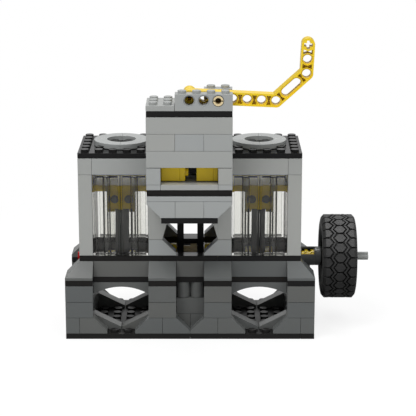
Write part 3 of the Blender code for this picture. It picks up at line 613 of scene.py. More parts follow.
def makeWindow(rowName, row, sideName, side):
    pane = {"front": 24.0, "back": 16.15, "wall": 1.2, "roof": 1.6, "low": 48.16, "high": 95.84,
            "tube": 2.2, "tubeWall": 0.45, "sunk": 0.4, "spans": ((24.2, 39.96), (40.04, 55.8))}
    name = f"window{rowName.title()}{sideName.title()}"
    wall, roof = pane["wall"], pane["high"] - pane["roof"]
    panes = []
    for a, b in pane["spans"]:
        depth = (pane["front"] * row, pane["back"] * row)
        outer = block(name, (a * side, b * side), depth, (pane["low"], pane["high"]))
        inside = ((pane["front"] - wall) * row, (pane["back"] + wall) * row)
        carve(outer, [block("hollow", ((a + wall) * side, (b - wall) * side), inside, (40, roof))])
        centre = ((a + b) / 2 * side, 20 * row)
        tube = rod("tube", "z", pane["tube"], pane["low"], roof + pane["sunk"], centre, 32)
        carve(tube, [rod("bore", "z", pane["tube"] - pane["tubeWall"], 40, roof - pane["sunk"], centre, 32)])
        carve(outer, [tube], "UNION")
        panes.append(tint(outer, 0.5))
    piece = joinUp(name, panes)
    soften(piece, 0.14, 2, 50)
    dress(piece, "clearPlastic", f"window_{rowName}_{sideName}")


def makeHead(sideName, side):
    head = {"span": (105.7, 108.7), "studs": 108.65, "centre": 40, "ring": 15.85, "ringGap": 15.95,
            "ringSpan": (108.95, 111.98), "bore": 8.36, "quarterGap": 0.05}
    name = f"headPlate{sideName.title()}"
    plate = bricks(name, [((16.1, 64), (-24, 24), head["span"])], flip=(side, 1))
    soften(plate, 0.12)
    # studs stand free inside and outside the ring, and those that it overlaps are cut to crescents
    grid = [(x, y, math.hypot(x - head["centre"], y)) for x in studRow(16, 6) for y in studRow(-24, 6)]
    clear = [(x * side, y) for x, y, out in grid if out > 17 or out < 6]
    tucked = [(x * side, y, head["studs"]) for x, y, out in grid if 16 < out < 17]
    plate = withStuds(plate, clear, head["studs"])
    crescents = joinUp("crescents", copies(studPattern, tucked))
    centre = (head["centre"] * side, 0)
    carve(crescents, [rod("ring", "z", head["ringGap"], 100, 120, centre, 96)])
    dress(joinUp(name, [plate, crescents]), "blackPlastic", f"head_plate_{sideName}")

    # one quarter of the ring, turned to the other three
    ring = rod("ring", "z", head["ring"], *head["ringSpan"], (0, 0), 96)
    carve(ring, [rod("bore", "z", head["bore"], 100, 120, (0, 0), 64)])
    cutAcross(ring, (head["quarterGap"], 0, 0), (-1, 0, 0), "outer")
    cutAcross(ring, (0, head["quarterGap"], 0), (0, -1, 0), "outer")
    tint(ring, 0.3)
    soften(ring, 0.2, 3, 40)
    turns = [Matrix.Rotation(math.pi / 2 * i, 4, "Z") for i in range(4)]
    quarters = copies(ring, [(*centre, 0)] * 4, turns, lastUse=True)
    dress(joinUp(f"portRing{sideName.title()}", quarters), "lightGreyPlastic", f"port_ring_{sideName}")


def makeValveChest():
    chest = {"back": -23.8, "inner": 7.8, "gap": 0.12, "levels": (86.4, 96.0, 105.6), "roof": 100.9,
             "studs": 105.4}
    inner, levels = chest["inner"], chest["levels"]
    places = []
    for low, high in zip(levels, levels[1:]):
        z = (low + chest["gap"], high)
        places += [((-16, 16), (16, 24), z), ((-16, 16), (chest["back"], -16), z)]
        places += [((inner * side, 16 * side), (-16, 16), z) for side in (-1, 1)]
    places.append(((-inner, inner), (-16, 16), (chest["roof"], levels[-1])))
    studs = [(x, y) for x in studRow(-16, 4) for y in studRow(-24, 6)]
    course("valveChest", places, "lightGreyPlastic", "valve_chest",
           studs=studs, top=chest["studs"], play=0.16)


for sideName, side in sides.items():
    makeCylinderFrame(sideName, side)
    makeInnerWall(sideName, side)
    makeHead(sideName, side)
    for rowName, row in rows.items():
        makeWindow(rowName, row, sideName, side)
makeValveChest()
print("cylinders made")


def makeTower():
    tower = {"depth": (-48, -24.08), "foot": (73.6, 76.8), "hopper": (76.8, 86.4), "hopperTop": (86.4, 89.45),
             "slotPlate": (89.6, 92.8), "gate": (92.95, 96.0), "gateTop": (96.0, 105.5),
             "shell": ((105.72, 115.2), (115.2, 124.8), (124.8, 134.3)), "cap": (134.4, 137.6),
             "top": (137.7, 140.8), "studs": 140.7}
    depth, hopperAt = tower["depth"], tower["hopper"]
    left, middle, right, across = (-24, -8), (-8, 8), (8, 24), (-24, 24)
    plain = {"edge": 0.12, "play": 0.16}
    course("towerFoot", [((-16, 16), depth, tower["foot"])], "blackPlastic", "tower_foot_plate", **plain)

    hopper = bricks("towerHopper", [
        (left, depth, hopperAt, ("x", -1, 8, True)),
        (middle, depth, hopperAt),
        (right, depth, hopperAt, ("x", 1, 8, True)),
        (across, depth, tower["hopperTop"]),
    ])
    shift(hopper, lambda p: abs(p.z - hopperAt[0] - 0.05) < 0.01, (0, 0, 0.12))
    soften(hopper)
    dress(hopper, "lightGreyPlastic", "tower_hopper")

    course("slotPlate", [(across, depth, tower["slotPlate"])], "blackPlastic", "slot_plate", **plain)
    gate = [((-16, 16), depth, tower["gate"])]
    gate += [(x, depth, z) for z in (tower["gate"], tower["gateTop"]) for x in ((-24, -16), (16, 24))]
    course("gateHousing", gate, "lightGreyPlastic", "gate_housing")
    low, middleCourse, high = tower["shell"]
    shell = [(across, depth, low)] + [(x, depth, middleCourse) for x in (left, middle, right)]
    shell.append((across, depth, high))
    shaft = block("shaft", (-6.6, 6.6), (-31.85, -25.4), (100, 140))
    course("valveTower", shell, "lightGreyPlastic", "valve_tower", cuts=[shaft])
    hole = rod("hole", "z", 2.7, 130, 140, (0, -28.7), 32)
    course("towerCap", [(across, depth, tower["cap"])], "blackPlastic", "tower_cap", cuts=[hole], **plain)
    studs = [(x, y) for x in (-20, -12) for y in (-44, -36, -28)]
    course("topPlate", [((-24, -8.1), depth, tower["top"])], "lightGreyPlastic", "top_plate",
           edge=0.12, studs=studs, top=tower["studs"])


def makePivotBrick(name, node, x, y, spots):
    brick = {"low": 137.72, "high": 147.2, "studs": 147.1, "hole": 2.6, "rim": 3.25, "rimDepth": 0.85}
    depth = brick["rimDepth"]
    piece = bricks(name, [(x, y, (brick["low"], brick["high"]))])
    ends = (min(y) - 1, max(y) + 1)
    centres = [(spot, leverPivot[1]) for spot in spots]
    carve(piece, [rod("hole", "y", brick["hole"], *ends, centre, 32) for centre in centres])
    carve(piece, [rod("rim", "y", brick["rim"], face - depth, face + depth, centre, 40)
                  for centre in centres for face in y])
    soften(piece, 0.14)
    count = round((max(x) - min(x)) / 8)
    withStuds(piece, [(stud, sum(y) / 2) for stud in studRow(round(min(x)), count)], brick["studs"])
    dress(piece, "lightGreyPlastic", node)


makeTower()
makePivotBrick("pivotBrickFront", "pivot_brick_front", (-8, 24), (-47.95, -40.2), (0, 8, 16))
makePivotBrick("pivotBrickRear", "pivot_brick_rear", (8, 24), (-31.8, -24.05), (16,))
print("tower made")


# The cross-shaped section of an axle: two crossed bars trimmed to a round outline
def crossShape(name, axis, start, end, across=(0, 0), radius=2.4, arm=0.92):
    i = "xyz".index(axis)
    bars = []
    for first, second in (((-3, 3), (-arm, arm)), ((-arm, arm), (-3, 3))):
        reach = [[value + across[j] for value in span] for j, span in enumerate((first, second))]
        reach.insert(i, (start, end))
        bars.append(block(name, *reach))
    piece = carve(bars[0], [bars[1]], "UNION")
    carve(piece, [rod("round", axis, radius, start - 1, end + 1, across, 48)], "INTERSECT")
    return piece


# A flat bar with round ends, between two places in the plane that it lies in
def beamBar(name, start, end, width, radius=3.7, across="x"):
    run = Vector((end[0] - start[0], end[1] - start[1]))
    half = run.length / 2
    piece = rod(name, "x", radius, *width, (0, 0), 40)
    # the upper half of a disc is moved up and drawn out to the middle, then mirrored downwards
    cutAcross(piece, (0, 0, 0), (0, 0, 1), "inner")
    shift(piece, lambda p: True, (0, 0, half))
    shift(piece, lambda p: p.z < half + 0.01, (0, 0, 0.02 - half))
    cutAcross(piece, (0, 0, half), (0, 0, 1))
    choose(piece, lambda p: p.z < 0.03)
    bpy.ops.mesh.delete(type="ONLY_FACE")
    bpy.ops.object.mode_set(mode="OBJECT")
    shift(piece, lambda p: p.z < 0.03, (0, 0, -0.02))
    fold = piece.modifiers.new("fold", "MIRROR")
    fold.use_axis = (False, False, True)
    fold.merge_threshold = 0.00002
    pick(piece)
    bpy.ops.object.modifier_apply(modifier=fold.name)
    weld(piece)
    piece.data.transform(Matrix.Rotation(math.atan2(-run.x, run.y), 4, "X"))
    middle = Vector((0, (start[0] + end[0]) / 2, (start[1] + end[1]) / 2))
    piece.data.transform(Matrix.Translation(middle * mm))
    if across == "y":
        piece.data.transform(Matrix(((0, 1, 0, 0), (1, 0, 0, 0), (0, 0, 1, 0), (0, 0, 0, 1))))
        piece.data.flip_normals()
    return piece


# The waisted hollow between two holes of a beam, as a cutter that goes through in the Y direction
def hourglass(place, across, depth, height=5.2, wide=1.35, neck=0.5, lean=0.0):
    tool = block("hourglass", (-wide, wide), (across - depth, across + depth), (-height / 2, height / 2))
    cutAcross(tool, (0, 0, 0), (0, 0, 1))
    for side in (-1, 1):
        shift(tool, lambda p: abs(p.z) < 0.01 and p.x * side > 0, (side * (neck - wide), 0, 0))
    tool.data.transform(Matrix.Rotation(-lean, 4, "Y"))
    tool.data.transform(Matrix.Translation(Vector((place[0], 0, place[1])) * mm))
    return tool


# The lever is three bars made one, and its places count from the pivot, before the tilt
def makeLever():
    lever = {"tilt": 2.7, "width": (-39.83, -32.17), "hole": 2.42, "rim": 3.15, "rimDepth": 0.9,
             "hollow": 3.4, "slot": (40, 8), "slotHalf": 2.77, "slotHollow": 5.5,
             "bars": (((-16, 0), (32, 0)), ((32, 0), (48, 16)), ((48, 16), (48, 32))),
             "crossed": ((-16, 0), (48, 32))}
    width, depth, hollow = lever["width"], lever["rimDepth"], lever["hollow"]
    bars = [beamBar("throttleLever", start, end, width, across="y") for start, end in lever["bars"]]
    piece = carve(bars[0], [bars[1]], "UNION")
    carve(piece, [bars[2]], "UNION")
    plain = [(x, 0) for x in range(-8, 40, 8)] + [(48, 16), (48, 24)]
    slotX, slotZ = lever["slot"]
    slotEnds = [(slotX + lever["slotHalf"] * end, slotZ + lever["slotHalf"] * end) for end in (-1, 1)]
    for face in width:
        span = (face - depth, face + depth)
        rims = [rod("rim", "y", lever["rim"], *span, place, 40) for place in plain]
        rims.append(beamBar("rim", *slotEnds, span, lever["rim"], "y"))
        carve(piece, rims)
        level = [hourglass((x, 0), face, hollow) for x in range(-12, 32, 8)]
        upright = [hourglass((48, z), face, hollow, lean=math.pi / 2) for z in (20, 28)]
        beside = [(slotX + lever["slotHollow"] * end, slotZ + lever["slotHollow"] * end) for end in (-1, 1)]
        sloping = [hourglass(place, face, hollow, 5.0, 1.1, 0.3, math.pi / 4) for place in beside]
        carve(piece, level + upright + sloping)
    through = (width[0] - 2, width[1] + 2)
    carve(piece, [hourglass((48, 28), sum(width) / 2, 6, 4.4, 1.2, 0.1, math.pi / 2)])
    cutters = [rod("hole", "y", lever["hole"], *through, place, 40) for place in plain]
    cutters.append(beamBar("slot", *slotEnds, through, lever["hole"], "y"))
    cutters += [crossShape("cross", "y", *through, place) for place in lever["crossed"]]
    carve(piece, cutters)
    piece.data.transform(Matrix.Rotation(math.radians(lever["tilt"]), 4, "Y"))
    piece.data.transform(Matrix.Translation(Vector((leverPivot[0], 0, leverPivot[1])) * mm))
    polish(piece, 0.13, 0.5)
    dress(piece, "yellowPlastic", "throttle_lever", body="throttle_lever")


def makeLeverPin():
    pin = {"radius": 2.36, "lip": 2.82, "bore": 1.75, "slit": 0.34, "front": -47.95, "back": -24.2}
    height = leverPivot[1]
    piece = rod("leverPin", "y", pin["radius"], pin["front"] + 0.35, pin["back"], leverPivot, 40)
    carve(piece, [rod("lip", "y", pin["lip"], pin["front"], pin["front"] + 0.7, leverPivot, 40)], "UNION")
    carve(piece, [rod("bore", "y", pin["bore"], -50, -34, leverPivot, 32)])
    carve(piece, [block("slit", (10, 22), (-50, -43.5), (height - pin["slit"], height + pin["slit"]))])
    polish(piece, 0.12, 0.5)
    dress(piece, "tanPlastic", "lever_pin")


def makeGateBlocks():
    gate = {"low": 96.32, "high": 105.13, "depth": (-40, -32), "lintel": 1.8, "stud": (-3, -0.72),
            "studAt": (-36, 100.7), "spans": ((-15.85, -5.5), (-5.5, -2.4), (3.9, 13.5), (13.5, 15.85))}
    low, high = gate["low"], gate["high"]
    places = [(span, gate["depth"], (low, high)) for span in gate["spans"]]
    places.append(((-3, 4.5), (-34, -32.05), (high - gate["lintel"], high)))
    piece = bricks("gateBlocks", places, play=0.03)
    stud = rod("sideStud", "x", studSize["radius"], *gate["stud"], gate["studAt"], 24)
    soften(piece, 0.14)
    soften(stud, 0.2)
    tint(stud, 0.5)
    dress(joinUp("gateBlocks", [piece, stud]), "yellowPlastic", "gate_blocks")


# The link that hangs on the lever's end: a bush, a rod and the shutter behind the yellow blocks
def makeThrottleLink():
    link = {"height": 144.15, "rod": 2.36, "back": -28.7, "shutter": (-31.65, -29.95), "half": 5.95,
            "tall": 12}
    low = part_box("throttle_gate")[0][2] / mm
    head = rod("linkHead", "y", bores["bush"], -31.65, -24.05, (0, link["height"]), 48)
    carve(head, [crossShape("cross", "y", -33, -30.4, (0, link["height"]), 2.3, 0.85)])
    tint(soften(head, 0.3, 3, 30), 0.5)
    dress(head, "yellowPlastic", body="throttle_gate")
    stem = rod("stem", "z", link["rod"], low + 2, link["height"] - 1, (0, link["back"]), 32)
    half = link["half"]
    shutter = block("shutter", (-half, half), link["shutter"], (low + 0.05, low + link["tall"] - 0.05))
    cutAcross(shutter, (0, 0, low + link["tall"] / 2), (0, 0, 1))
    parts = [polish(part, 0.2, 0.5) for part in (stem, shutter)]
    dress(joinUp("throttleShutter", parts), "blackPlastic", "throttle_gate", body="throttle_gate")


# A beam across X with rims round its holes; a closed hole has an axle end in it
def bored(name, start, end, width, holes, axles=()):
    piece = beamBar(name, start, end, width)
    depth = min(0.85, (width[1] - width[0]) / 5)
    for face in width:
        carve(piece, [rod("rim", "x", bores["rim"], face - depth, face + depth, place, 32)
                      for place in (*holes, *axles)])
    if holes:
        through = (width[0] - 1, width[1] + 1)
        carve(piece, [rod("hole", "x", bores["pin"], *through, place, 32) for place in holes])
    for place in axles:
        carve(piece, [crossShape("axleEnd", "x", width[0] + 0.1, width[1] - 0.1, place)], "UNION")
    return piece


# Small round cutters in a ring about the X axis, for the notches of a bush
def notchRing(radius, start, end, height, reach, facets, first=0.0):
    angles = [math.pi / 4 * (i + first) for i in range(8)]
    return [rod("notch", "x", radius, start, end, (reach * math.cos(a), height + reach * math.sin(a)), facets)
            for a in angles]


def makeCrankshaft():
    crank = {"left": (-66.75, -48.2), "right": (48.2, 105.15), "throw": 8, "outerWeb": (44.2, 48),
             "innerWeb": (32, 35.8), "valveWeb": (8.25, 12.05), "axle": (10.2, 33.8), "valvePin": 8.05,
             "bush": (0.03, 3.67)}
    centre, valveCentre = (0, crankHeight), (0, valvePinHeight)
    left = crossShape("axleLeft", "x", *crank["left"], centre)
    dress(polish(left, 0.25, 0.5, 50), "redPlastic", "crank_axle_left", body="crankshaft")
    right = crossShape("axleRight", "x", *crank["right"], centre)
    dress(polish(right, 0.25, 0.5, 50), "lightGreyPlastic", "main_axle", body="crankshaft")
    for sideName, side in sides.items():
        spans = {part: sorted(end * side for end in crank[part])
                 for part in ("outerWeb", "innerWeb", "valveWeb", "axle")}
        pin = (crank["throw"] * side, crankHeight)
        outer = bored(f"crankWeb{sideName.title()}", centre, pin, spans["outerWeb"], (), (centre, pin))
        dress(polish(outer, 0.12, 0.4), "yellowPlastic", f"crank_web_{sideName}", body="crankshaft")
        inner = bored("web", centre, pin, spans["innerWeb"], (), (centre, pin))
        valve = bored("valveWeb", centre, valveCentre, spans["valveWeb"], (), (centre,))
        axle = crossShape("axle", "x", *spans["axle"], centre)
        group = joinUp(f"crankCentre{sideName.title()}", [polish(part) for part in (inner, valve, axle)])
        dress(group, "yellowPlastic", f"crank_centre_{sideName}", body="crankshaft")
    valvePin = crossShape("valvePin", "x", -crank["valvePin"], crank["valvePin"], valveCentre)
    bush = rod("bush", "x", bores["bush"], *crank["bush"], valveCentre, 40)
    carve(bush, notchRing(0.7, -1, 5, valvePinHeight, 4.1, 16, 0.5))
    parts = [polish(part, 0.12, 0.3) for part in (valvePin, bush)]
    dress(joinUp("valveCrankPin", parts), "tanPlastic", "valve_crank_pin", body="crankshaft")


def makeCoupling():
    drum = {"start": 64.32, "end": 76.9, "cap": 73.4, "radius": 5.58, "wall": 1.0, "sill": 2.1,
            "capGap": 0.12}
    bush = {"neck": 2.9, "neckSpan": (65.62, 73.05), "flanges": (67.5, 71.2), "thick": 1.8, "notch": 0.6,
            "reach": 3.9}
    centre = (0, crankHeight)
    inner = drum["start"] + drum["wall"]
    shell = rod("coupling", "x", drum["radius"], drum["start"], drum["cap"], centre, 64)
    carve(shell, [rod("hollow", "x", drum["radius"] - drum["wall"], inner, 80, centre, 64)])
    sill = crankHeight + drum["sill"]
    carve(shell, [block("window", (inner, drum["cap"] - 0.05), (-9, 0.0), (sill, sill + 9))])
    end = rod("end", "x", drum["radius"], drum["cap"] + drum["capGap"], drum["end"], centre, 64)
    for part in (shell, end):
        carve(part, [rod("bore", "x", bores["axle"], 60, 80, centre, 40)])
        polish(part, 0.18, 0.3, 35)
    dress(joinUp("coupling", [shell, end]), "darkGreyPlastic", "flywheel_coupling", body="crankshaft")

    neck = rod("bushNeck", "x", bush["neck"], *bush["neckSpan"], centre, 40)
    flanges = []
    for start in bush["flanges"]:
        flange = rod("flange", "x", bores["bush"], start, start + bush["thick"], centre, 48)
        notches = notchRing(bush["notch"], start - 1, start + 3, crankHeight, bush["reach"], 12)
        flanges.append(carve(flange, notches))
    for flange in flanges:
        carve(neck, [flange], "UNION")
    carve(neck, [rod("bore", "x", bores["axle"], 60, 80, centre, 40)])
    dress(polish(neck, 0.1, 0.5, 35), "yellowPlastic", "coupling_bushes", body="crankshaft")


# A turn about the crankshaft's axis, for patterns that go round the wheel
def turnedAbout(degrees):
    axis = Vector((0, 0, crankHeight)) * mm
    turn = Matrix.Rotation(math.radians(degrees), 4, "X")
    return Matrix.Translation(axis) @ turn @ Matrix.Translation(-axis)


def makeRim():
    rim = {"left": 76.92, "right": 97.08, "lip": 1.6, "radius": 15.18, "seat": 13.6, "web": 1.3, "hub": 5.58,
           "ribs": 6, "ribHalf": (5.5, 0.6), "ribSpan": (4.5, 14), "hole": 2.4, "holeReach": 9.6}
    centre, count = (0, crankHeight), rim["ribs"]
    middle = (rim["left"] + rim["right"]) / 2
    barrel = rod("rim", "x", rim["radius"], rim["left"] + rim["lip"], rim["right"] - rim["lip"], centre, 96)
    for side in (-1, 1):
        start, end = sorted((middle + side * rim["web"], middle + side * 15))
        carve(barrel, [rod("dish", "x", rim["seat"], start, end, centre, 96)])
    holes = []
    for i in range(count):
        angle = 2 * math.pi * (i + 0.5) / count
        place = (rim["holeReach"] * math.cos(angle), crankHeight + rim["holeReach"] * math.sin(angle))
        holes.append(rod("hole", "x", rim["hole"], 80, 94, place, 32))
    carve(barrel, holes)
    carve(barrel, [rod("hub", "x", rim["hub"], rim["left"], rim["right"], centre, 64)], "UNION")
    long, thick = rim["ribHalf"]
    reach = [crankHeight + out for out in rim["ribSpan"]]
    rib = block("rib", (middle - long, middle + long), (-thick, thick), reach)
    turns = [turnedAbout(360 / count * i) for i in range(count)]
    carve(barrel, copies(rib, [(0, 0, 0)] * count, turns, lastUse=True), "UNION")
    carve(barrel, [rod("bore", "x", bores["axle"], 70, 100, centre, 40)])
    dress(polish(barrel, 0.18, 0.5, 35), "blackPlastic", "flywheel_rim", body="crankshaft")


def makeTyre():
    # the last two values bound the side walls' band of painted light
    tyre = {"middle": 87.0, "half": 10.08, "inner": 15.37, "floor": 23.1, "outer": 24.6,
            "levels": (17.2, 21.6), "innerDraw": 1.1, "floorDraw": 2.0, "around": 104, "blocks": 26,
            "first": -0.45, "groove": 0.95, "hexagon": 1.3, "rib": (2.15, 3.3), "shoulder": (6.35, 10.03),
            "fold": 8.2, "jut": 2.1, "sunk": 0.4, "drop": (0.35, 1.7), "wornFrom": 7.8, "wornTo": 23.6}
    z, middle, half, count = crankHeight, tyre["middle"], tyre["half"], tyre["blocks"]
    draft = z + 19.5
    letGo()
    # half of the section, drawn flat and spun round the axle
    bpy.ops.mesh.primitive_plane_add(
        size=mm, location=(middle * mm, 0, draft * mm), rotation=(math.pi / 2, 0, 0))
    body = newest("tyre")
    inner, floor = z + tyre["inner"], z + tyre["floor"]
    shift(body, lambda p: p.z < draft, (0, 0, inner - (draft - 0.5)))
    shift(body, lambda p: p.z > draft, (0, 0, floor - (draft + 0.5)))
    for side in (-1, 1):
        shift(body, lambda p: (p.x - middle) * side > 0, ((half - 0.5) * side, 0, 0))
    for level in tyre["levels"]:
        cutAcross(body, (0, 0, z + level), (0, 0, 1))
    for side in (-1, 1):
        beyond = lambda p: (p.x - middle) * side > 0
        shift(body, lambda p: p.z < inner + 0.01 and beyond(p), (-tyre["innerDraw"] * side, 0, 0))
        shift(body, lambda p: p.z > floor - 0.01 and beyond(p), (-tyre["floorDraw"] * side, 0, 0))
    choose(body, lambda p: True)
    hub = (middle * mm, 0, z * mm)
    bpy.ops.mesh.spin(steps=tyre["around"], angle=2 * math.pi, center=hub, axis=(1, 0, 0))
    bpy.ops.mesh.select_all(action="SELECT")
    bpy.ops.mesh.remove_doubles(threshold=0.00001)
    bpy.ops.mesh.select_all(action="DESELECT")
    bpy.ops.mesh.select_mode(type="FACE")
    bpy.ops.object.mode_set(mode="OBJECT")
    # what the spin leaves inside goes: the cross sections, and the rings between the levels
    for face in body.data.polygons:
        out = Vector((0, face.center.y, face.center.z - z * mm))
        deep = tyre["inner"] + 1 < out.length / mm < tyre["floor"] - 1
        ahead = abs(face.normal.dot(out.normalized().cross(Vector((1, 0, 0)))))
        face.select = ahead > 0.9 or (deep and abs(face.normal.dot(out.normalized())) > 0.9)
    bpy.ops.object.mode_set(mode="EDIT")
    bpy.ops.mesh.delete(type="FACE")
    bpy.ops.object.mode_set(mode="OBJECT")
    weld(body)
    soften(body, 0.5, 3, 20)

    # the tread: pointed blocks in the middle, a zigzag rib on both sides of them, and the shoulders
    pitch = 2 * math.pi * tyre["outer"] / count
    along = pitch / 2 - tyre["groove"] / 2
    low, high = z + tyre["floor"] - tyre["sunk"], z + tyre["outer"]
    jut, wide = tyre["jut"], (middle - tyre["hexagon"], middle + tyre["hexagon"])
    hexagon = block("hexagon", wide, (-along, along), (low, high))
    cutAcross(hexagon, (0, 0, 0), (0, 1, 0))
    for side in (-1, 1):
        shift(hexagon, lambda p: abs(p.y) < 0.01 and (p.x - middle) * side > 0, (jut * side, 0, 0))
    patterns = [(hexagon, 0)]
    for side in (-1, 1):
        ribSpan, edge = (sorted(middle + end * side for end in tyre[part]) for part in ("rib", "shoulder"))
        rib = block("zigzag", ribSpan, (-pitch / 2, pitch / 2), (low, high))
        cutAcross(rib, (0, 0, 0), (0, 1, 0))
        shift(rib, lambda p: abs(p.y) < 0.01, (jut * side, 0, 0))
        patterns.append((rib, 0))
        shoulder = block("shoulder", edge, (-along, along), (low - 1.6, high))
        cutAcross(shoulder, (0, 0, 0), (0, 1, 0))
        cutAcross(shoulder, (middle + tyre["fold"] * side, 0, 0), (1, 0, 0))
        nearEdge = lambda p: abs((p.x - middle) * side - tyre["shoulder"][0]) < 0.01
        shift(shoulder, lambda p: abs(p.y) < 0.01 and nearEdge(p), (-jut * side, 0, 0))
        inward, down = tyre["drop"]
        shift(shoulder, lambda p: (p.x - middle) * side > 9 and p.z > high - 0.1, (-inward * side, 0, -down))
        patterns.append((shoulder, 0.5))
    blocks = []
    for pattern, offset in patterns:
        soften(pattern, 0.12, 1, 35)
        turns = [turnedAbout(90 - tyre["first"] - 360 / count * (i + offset)) for i in range(count)]
        blocks += copies(pattern, [(0, 0, 0)] * count, turns, lastUse=True)
    tread = tint(joinUp("tread", blocks), 0.28)
    # painted light and shade: the side walls get a lighter rubber than the blocks, standing in for the light
    # that the engine's body keeps off them, and the groove floors stay black as painted shade
    tint(body, 0.0)
    shade = body.data.attributes["tint"].data
    for point in body.data.vertices:
        reach = math.hypot(point.co.y / mm, point.co.z / mm - z)
        # painted light on the side walls: a lighter tone outside the tread and inside its floor
        paintedLit = abs(point.co.x / mm - middle) > tyre["wornFrom"] and reach < tyre["wornTo"]
        shade[point.index].value = 1.0 if paintedLit else 0.0
    dress(joinUp("tyre", [body, tread]), "tyreRubber", "flywheel_tyre", body="crankshaft")


def makePiston(sideName, side):
    piston = {"half": 15.68, "crown": (84.4, 88.05), "floor": 76.3, "pins": 77.8, "block": 8, "seam": 0.02,
              "skirt": -4.4, "lug": (4.25, 7.82), "wrist": (2.38, 7.7)}
    x, half, floor, seam, edge = 40 * side, piston["half"], piston["floor"], piston["seam"], piston["block"]
    width, tall = (x - edge, x + edge), (floor, piston["crown"][0] + seam)
    halves = ((x - half, x), (x, x + half))
    crown = bricks("crown", [(span, (-half, half), piston["crown"]) for span in halves], play=0.02)
    body = bricks("piston", [
        (width, (-edge, -seam), tall),
        (width, (seam, edge), tall),
        (width, (-edge, piston["skirt"]), (wristHeight, floor)),
    ], play=0.02)
    centre = (0, wristHeight)
    lugs = []
    for lug in (-1, 1):
        span = sorted(x + lug * end for end in piston["lug"])
        lugs.append(bored("lug", centre, (0, floor + 3), span, (), (centre,)))
    for part in (crown, body, *lugs):
        soften(part, 0.14, 2, 35)
    for lug in lugs:
        tint(lug)
    own = f"piston_{sideName}"
    dress(joinUp(f"piston{sideName.title()}", [crown, body] + lugs), "yellowPlastic", own, body=own)
    pins = [rod("pin", "y", 2.4, -8.3, -5, (x + place, piston["pins"]), 32) for place in (-4, 4)]
    radius, reach = piston["wrist"]
    pins.append(rod("wristPin", "x", radius, x - reach, x + reach, centre, 32))
    for pin in pins:
        soften(tint(pin, 0.5), 0.15)
    dress(joinUp(f"pistonPins{sideName.title()}", pins), "darkGreyPlastic", body=own)


def makeConrod(sideName, side):
    conrod = {"half": 3.88, "holes": 4, "hollow": 2.3}
    width = (40 * side - conrod["half"], 40 * side + conrod["half"])
    wrist, crank = Vector((0, wristHeight)), Vector((8 * side, crankHeight))
    count = conrod["holes"]
    places = [tuple(wrist.lerp(crank, i / count)) for i in range(count)]
    piece = bored(f"conrod{sideName.title()}", tuple(wrist), tuple(crank), width, places, (tuple(crank),))
    lean = math.atan2(crank.x - wrist.x, wrist.y - crank.y)
    hollows = []
    for i in range(count):
        middle = wrist.lerp(crank, (i + 0.5) / count)
        for face in width:
            hollow = hourglass((0, 0), face, conrod["hollow"], lean=math.pi / 2)
            hollow.data.transform(Matrix.Translation((0, -face * mm, 0)))
            hollow.data.transform(Matrix.Rotation(math.pi / 2, 4, "Z"))
            hollow.data.transform(Matrix.Rotation(lean, 4, "X"))
            hollow.data.transform(Matrix.Translation(Vector((face, *middle)) * mm))
            hollows.append(hollow)
    carve(piece, hollows)
    polish(piece, 0.13, 0.4)
    dress(piece, "darkGreyPlastic", f"conrod_{sideName}", body=f"conrod_{sideName}")


def makeValveRods():
    valveRod = {"span": (4.02, 7.78), "holes": 5, "pitch": 8, "spacer": ((-5, 5), (-2, 2), (49.2, 52.1))}
    places = [(0, valvePinHeight + valveRod["pitch"] * i) for i in range(valveRod["holes"])]
    parts = [bored("valveRod", places[0], places[-1], sorted(end * side for end in valveRod["span"]), places)
             for side in (-1, 1)]
    parts.append(block("spacer", *valveRod["spacer"]))
    for part in parts:
        polish(part, 0.13, 0.5)
    dress(joinUp("valveRods", parts), "blackPlastic", "valve_rods", body="valve_rods")


# The slider that opens and shuts the ports in the chest, with the tongue that the two rods drive
def makeValveSlider():
    slider = {"play": 0.03, "height": 7.95, "tongue": 3.17, "radius": 3.66, "groove": 2.6,
              "grooveAt": (5.3, 2.7), "pin": 3.7}
    low, high = (Vector(corner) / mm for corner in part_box("valve_slider"))
    half, foot = high.x - slider["play"], high.z - slider["height"]
    body = block("slider", (-half, half), (-half, half), (foot, high.z - slider["play"]))
    cut = slider["groove"] / 2
    levels = [high.z - under for under in slider["grooveAt"]]
    carve(body, [block("groove", (half * side - cut, half * side + cut), (-half - 1, half + 1), levels)
                 for side in (-1, 1)])
    width = (-slider["tongue"], slider["tongue"])
    tongue = beamBar("tongue", (0, low.z + slider["pin"]), (0, foot + 1), width, slider["radius"])
    carve(body, [tongue], "UNION")
    dress(polish(body, 0.16, 0.4), "darkGreyPlastic", "valve_slider", body="valve_slider")


makeLever()
makeLeverPin()
makeGateBlocks()
makeThrottleLink()
print("throttle made")
makeCrankshaft()
makeCoupling()
makeRim()
makeTyre()
print("crankshaft and flywheel made")
for sideName, side in sides.items():
    makePiston(sideName, side)
    makeConrod(sideName, side)
makeValveRods()
makeValveSlider()
print("pistons and valve gear made")


# A value that eases from one level to another between two places
def eased(tree, along, start, end, low, high):
    fade = tree.nodes.new("ShaderNodeMapRange")
    fade.interpolation_type = "SMOOTHSTEP"
    tree.links.new(along, fade.inputs["Value"])
    fade.inputs["From Min"].default_value, fade.inputs["From Max"].default_value = start, end
    fade.inputs["To Min"].default_value, fade.inputs["To Max"].default_value = low, high
    return fade.outputs["Result"]


# White for what looks at the backdrop straight or through clear plastic, less for what bounced on the way
def backdropSeen(tree, path, mirrored):
    scattered = 0.7
    plain = mathNode(tree, "LESS_THAN", path.outputs["Glossy Depth"], 0.5)
    straight = mathNode(tree, "LESS_THAN", path.outputs["Diffuse Depth"], 0.5)
    clear = mathNode(tree, "MULTIPLY", straight, mathNode(tree, "MAXIMUM", plain, mirrored))
    bounced = mathNode(tree, "MULTIPLY", mathNode(tree, "SUBTRACT", 1.0, straight), scattered)
    level = mathNode(tree, "ADD", clear, bounced)
    through = mathNode(tree, "MULTIPLY", path.outputs["Is Transmission Ray"], level)
    return mathNode(tree, "MAXIMUM", path.outputs["Is Camera Ray"], through)


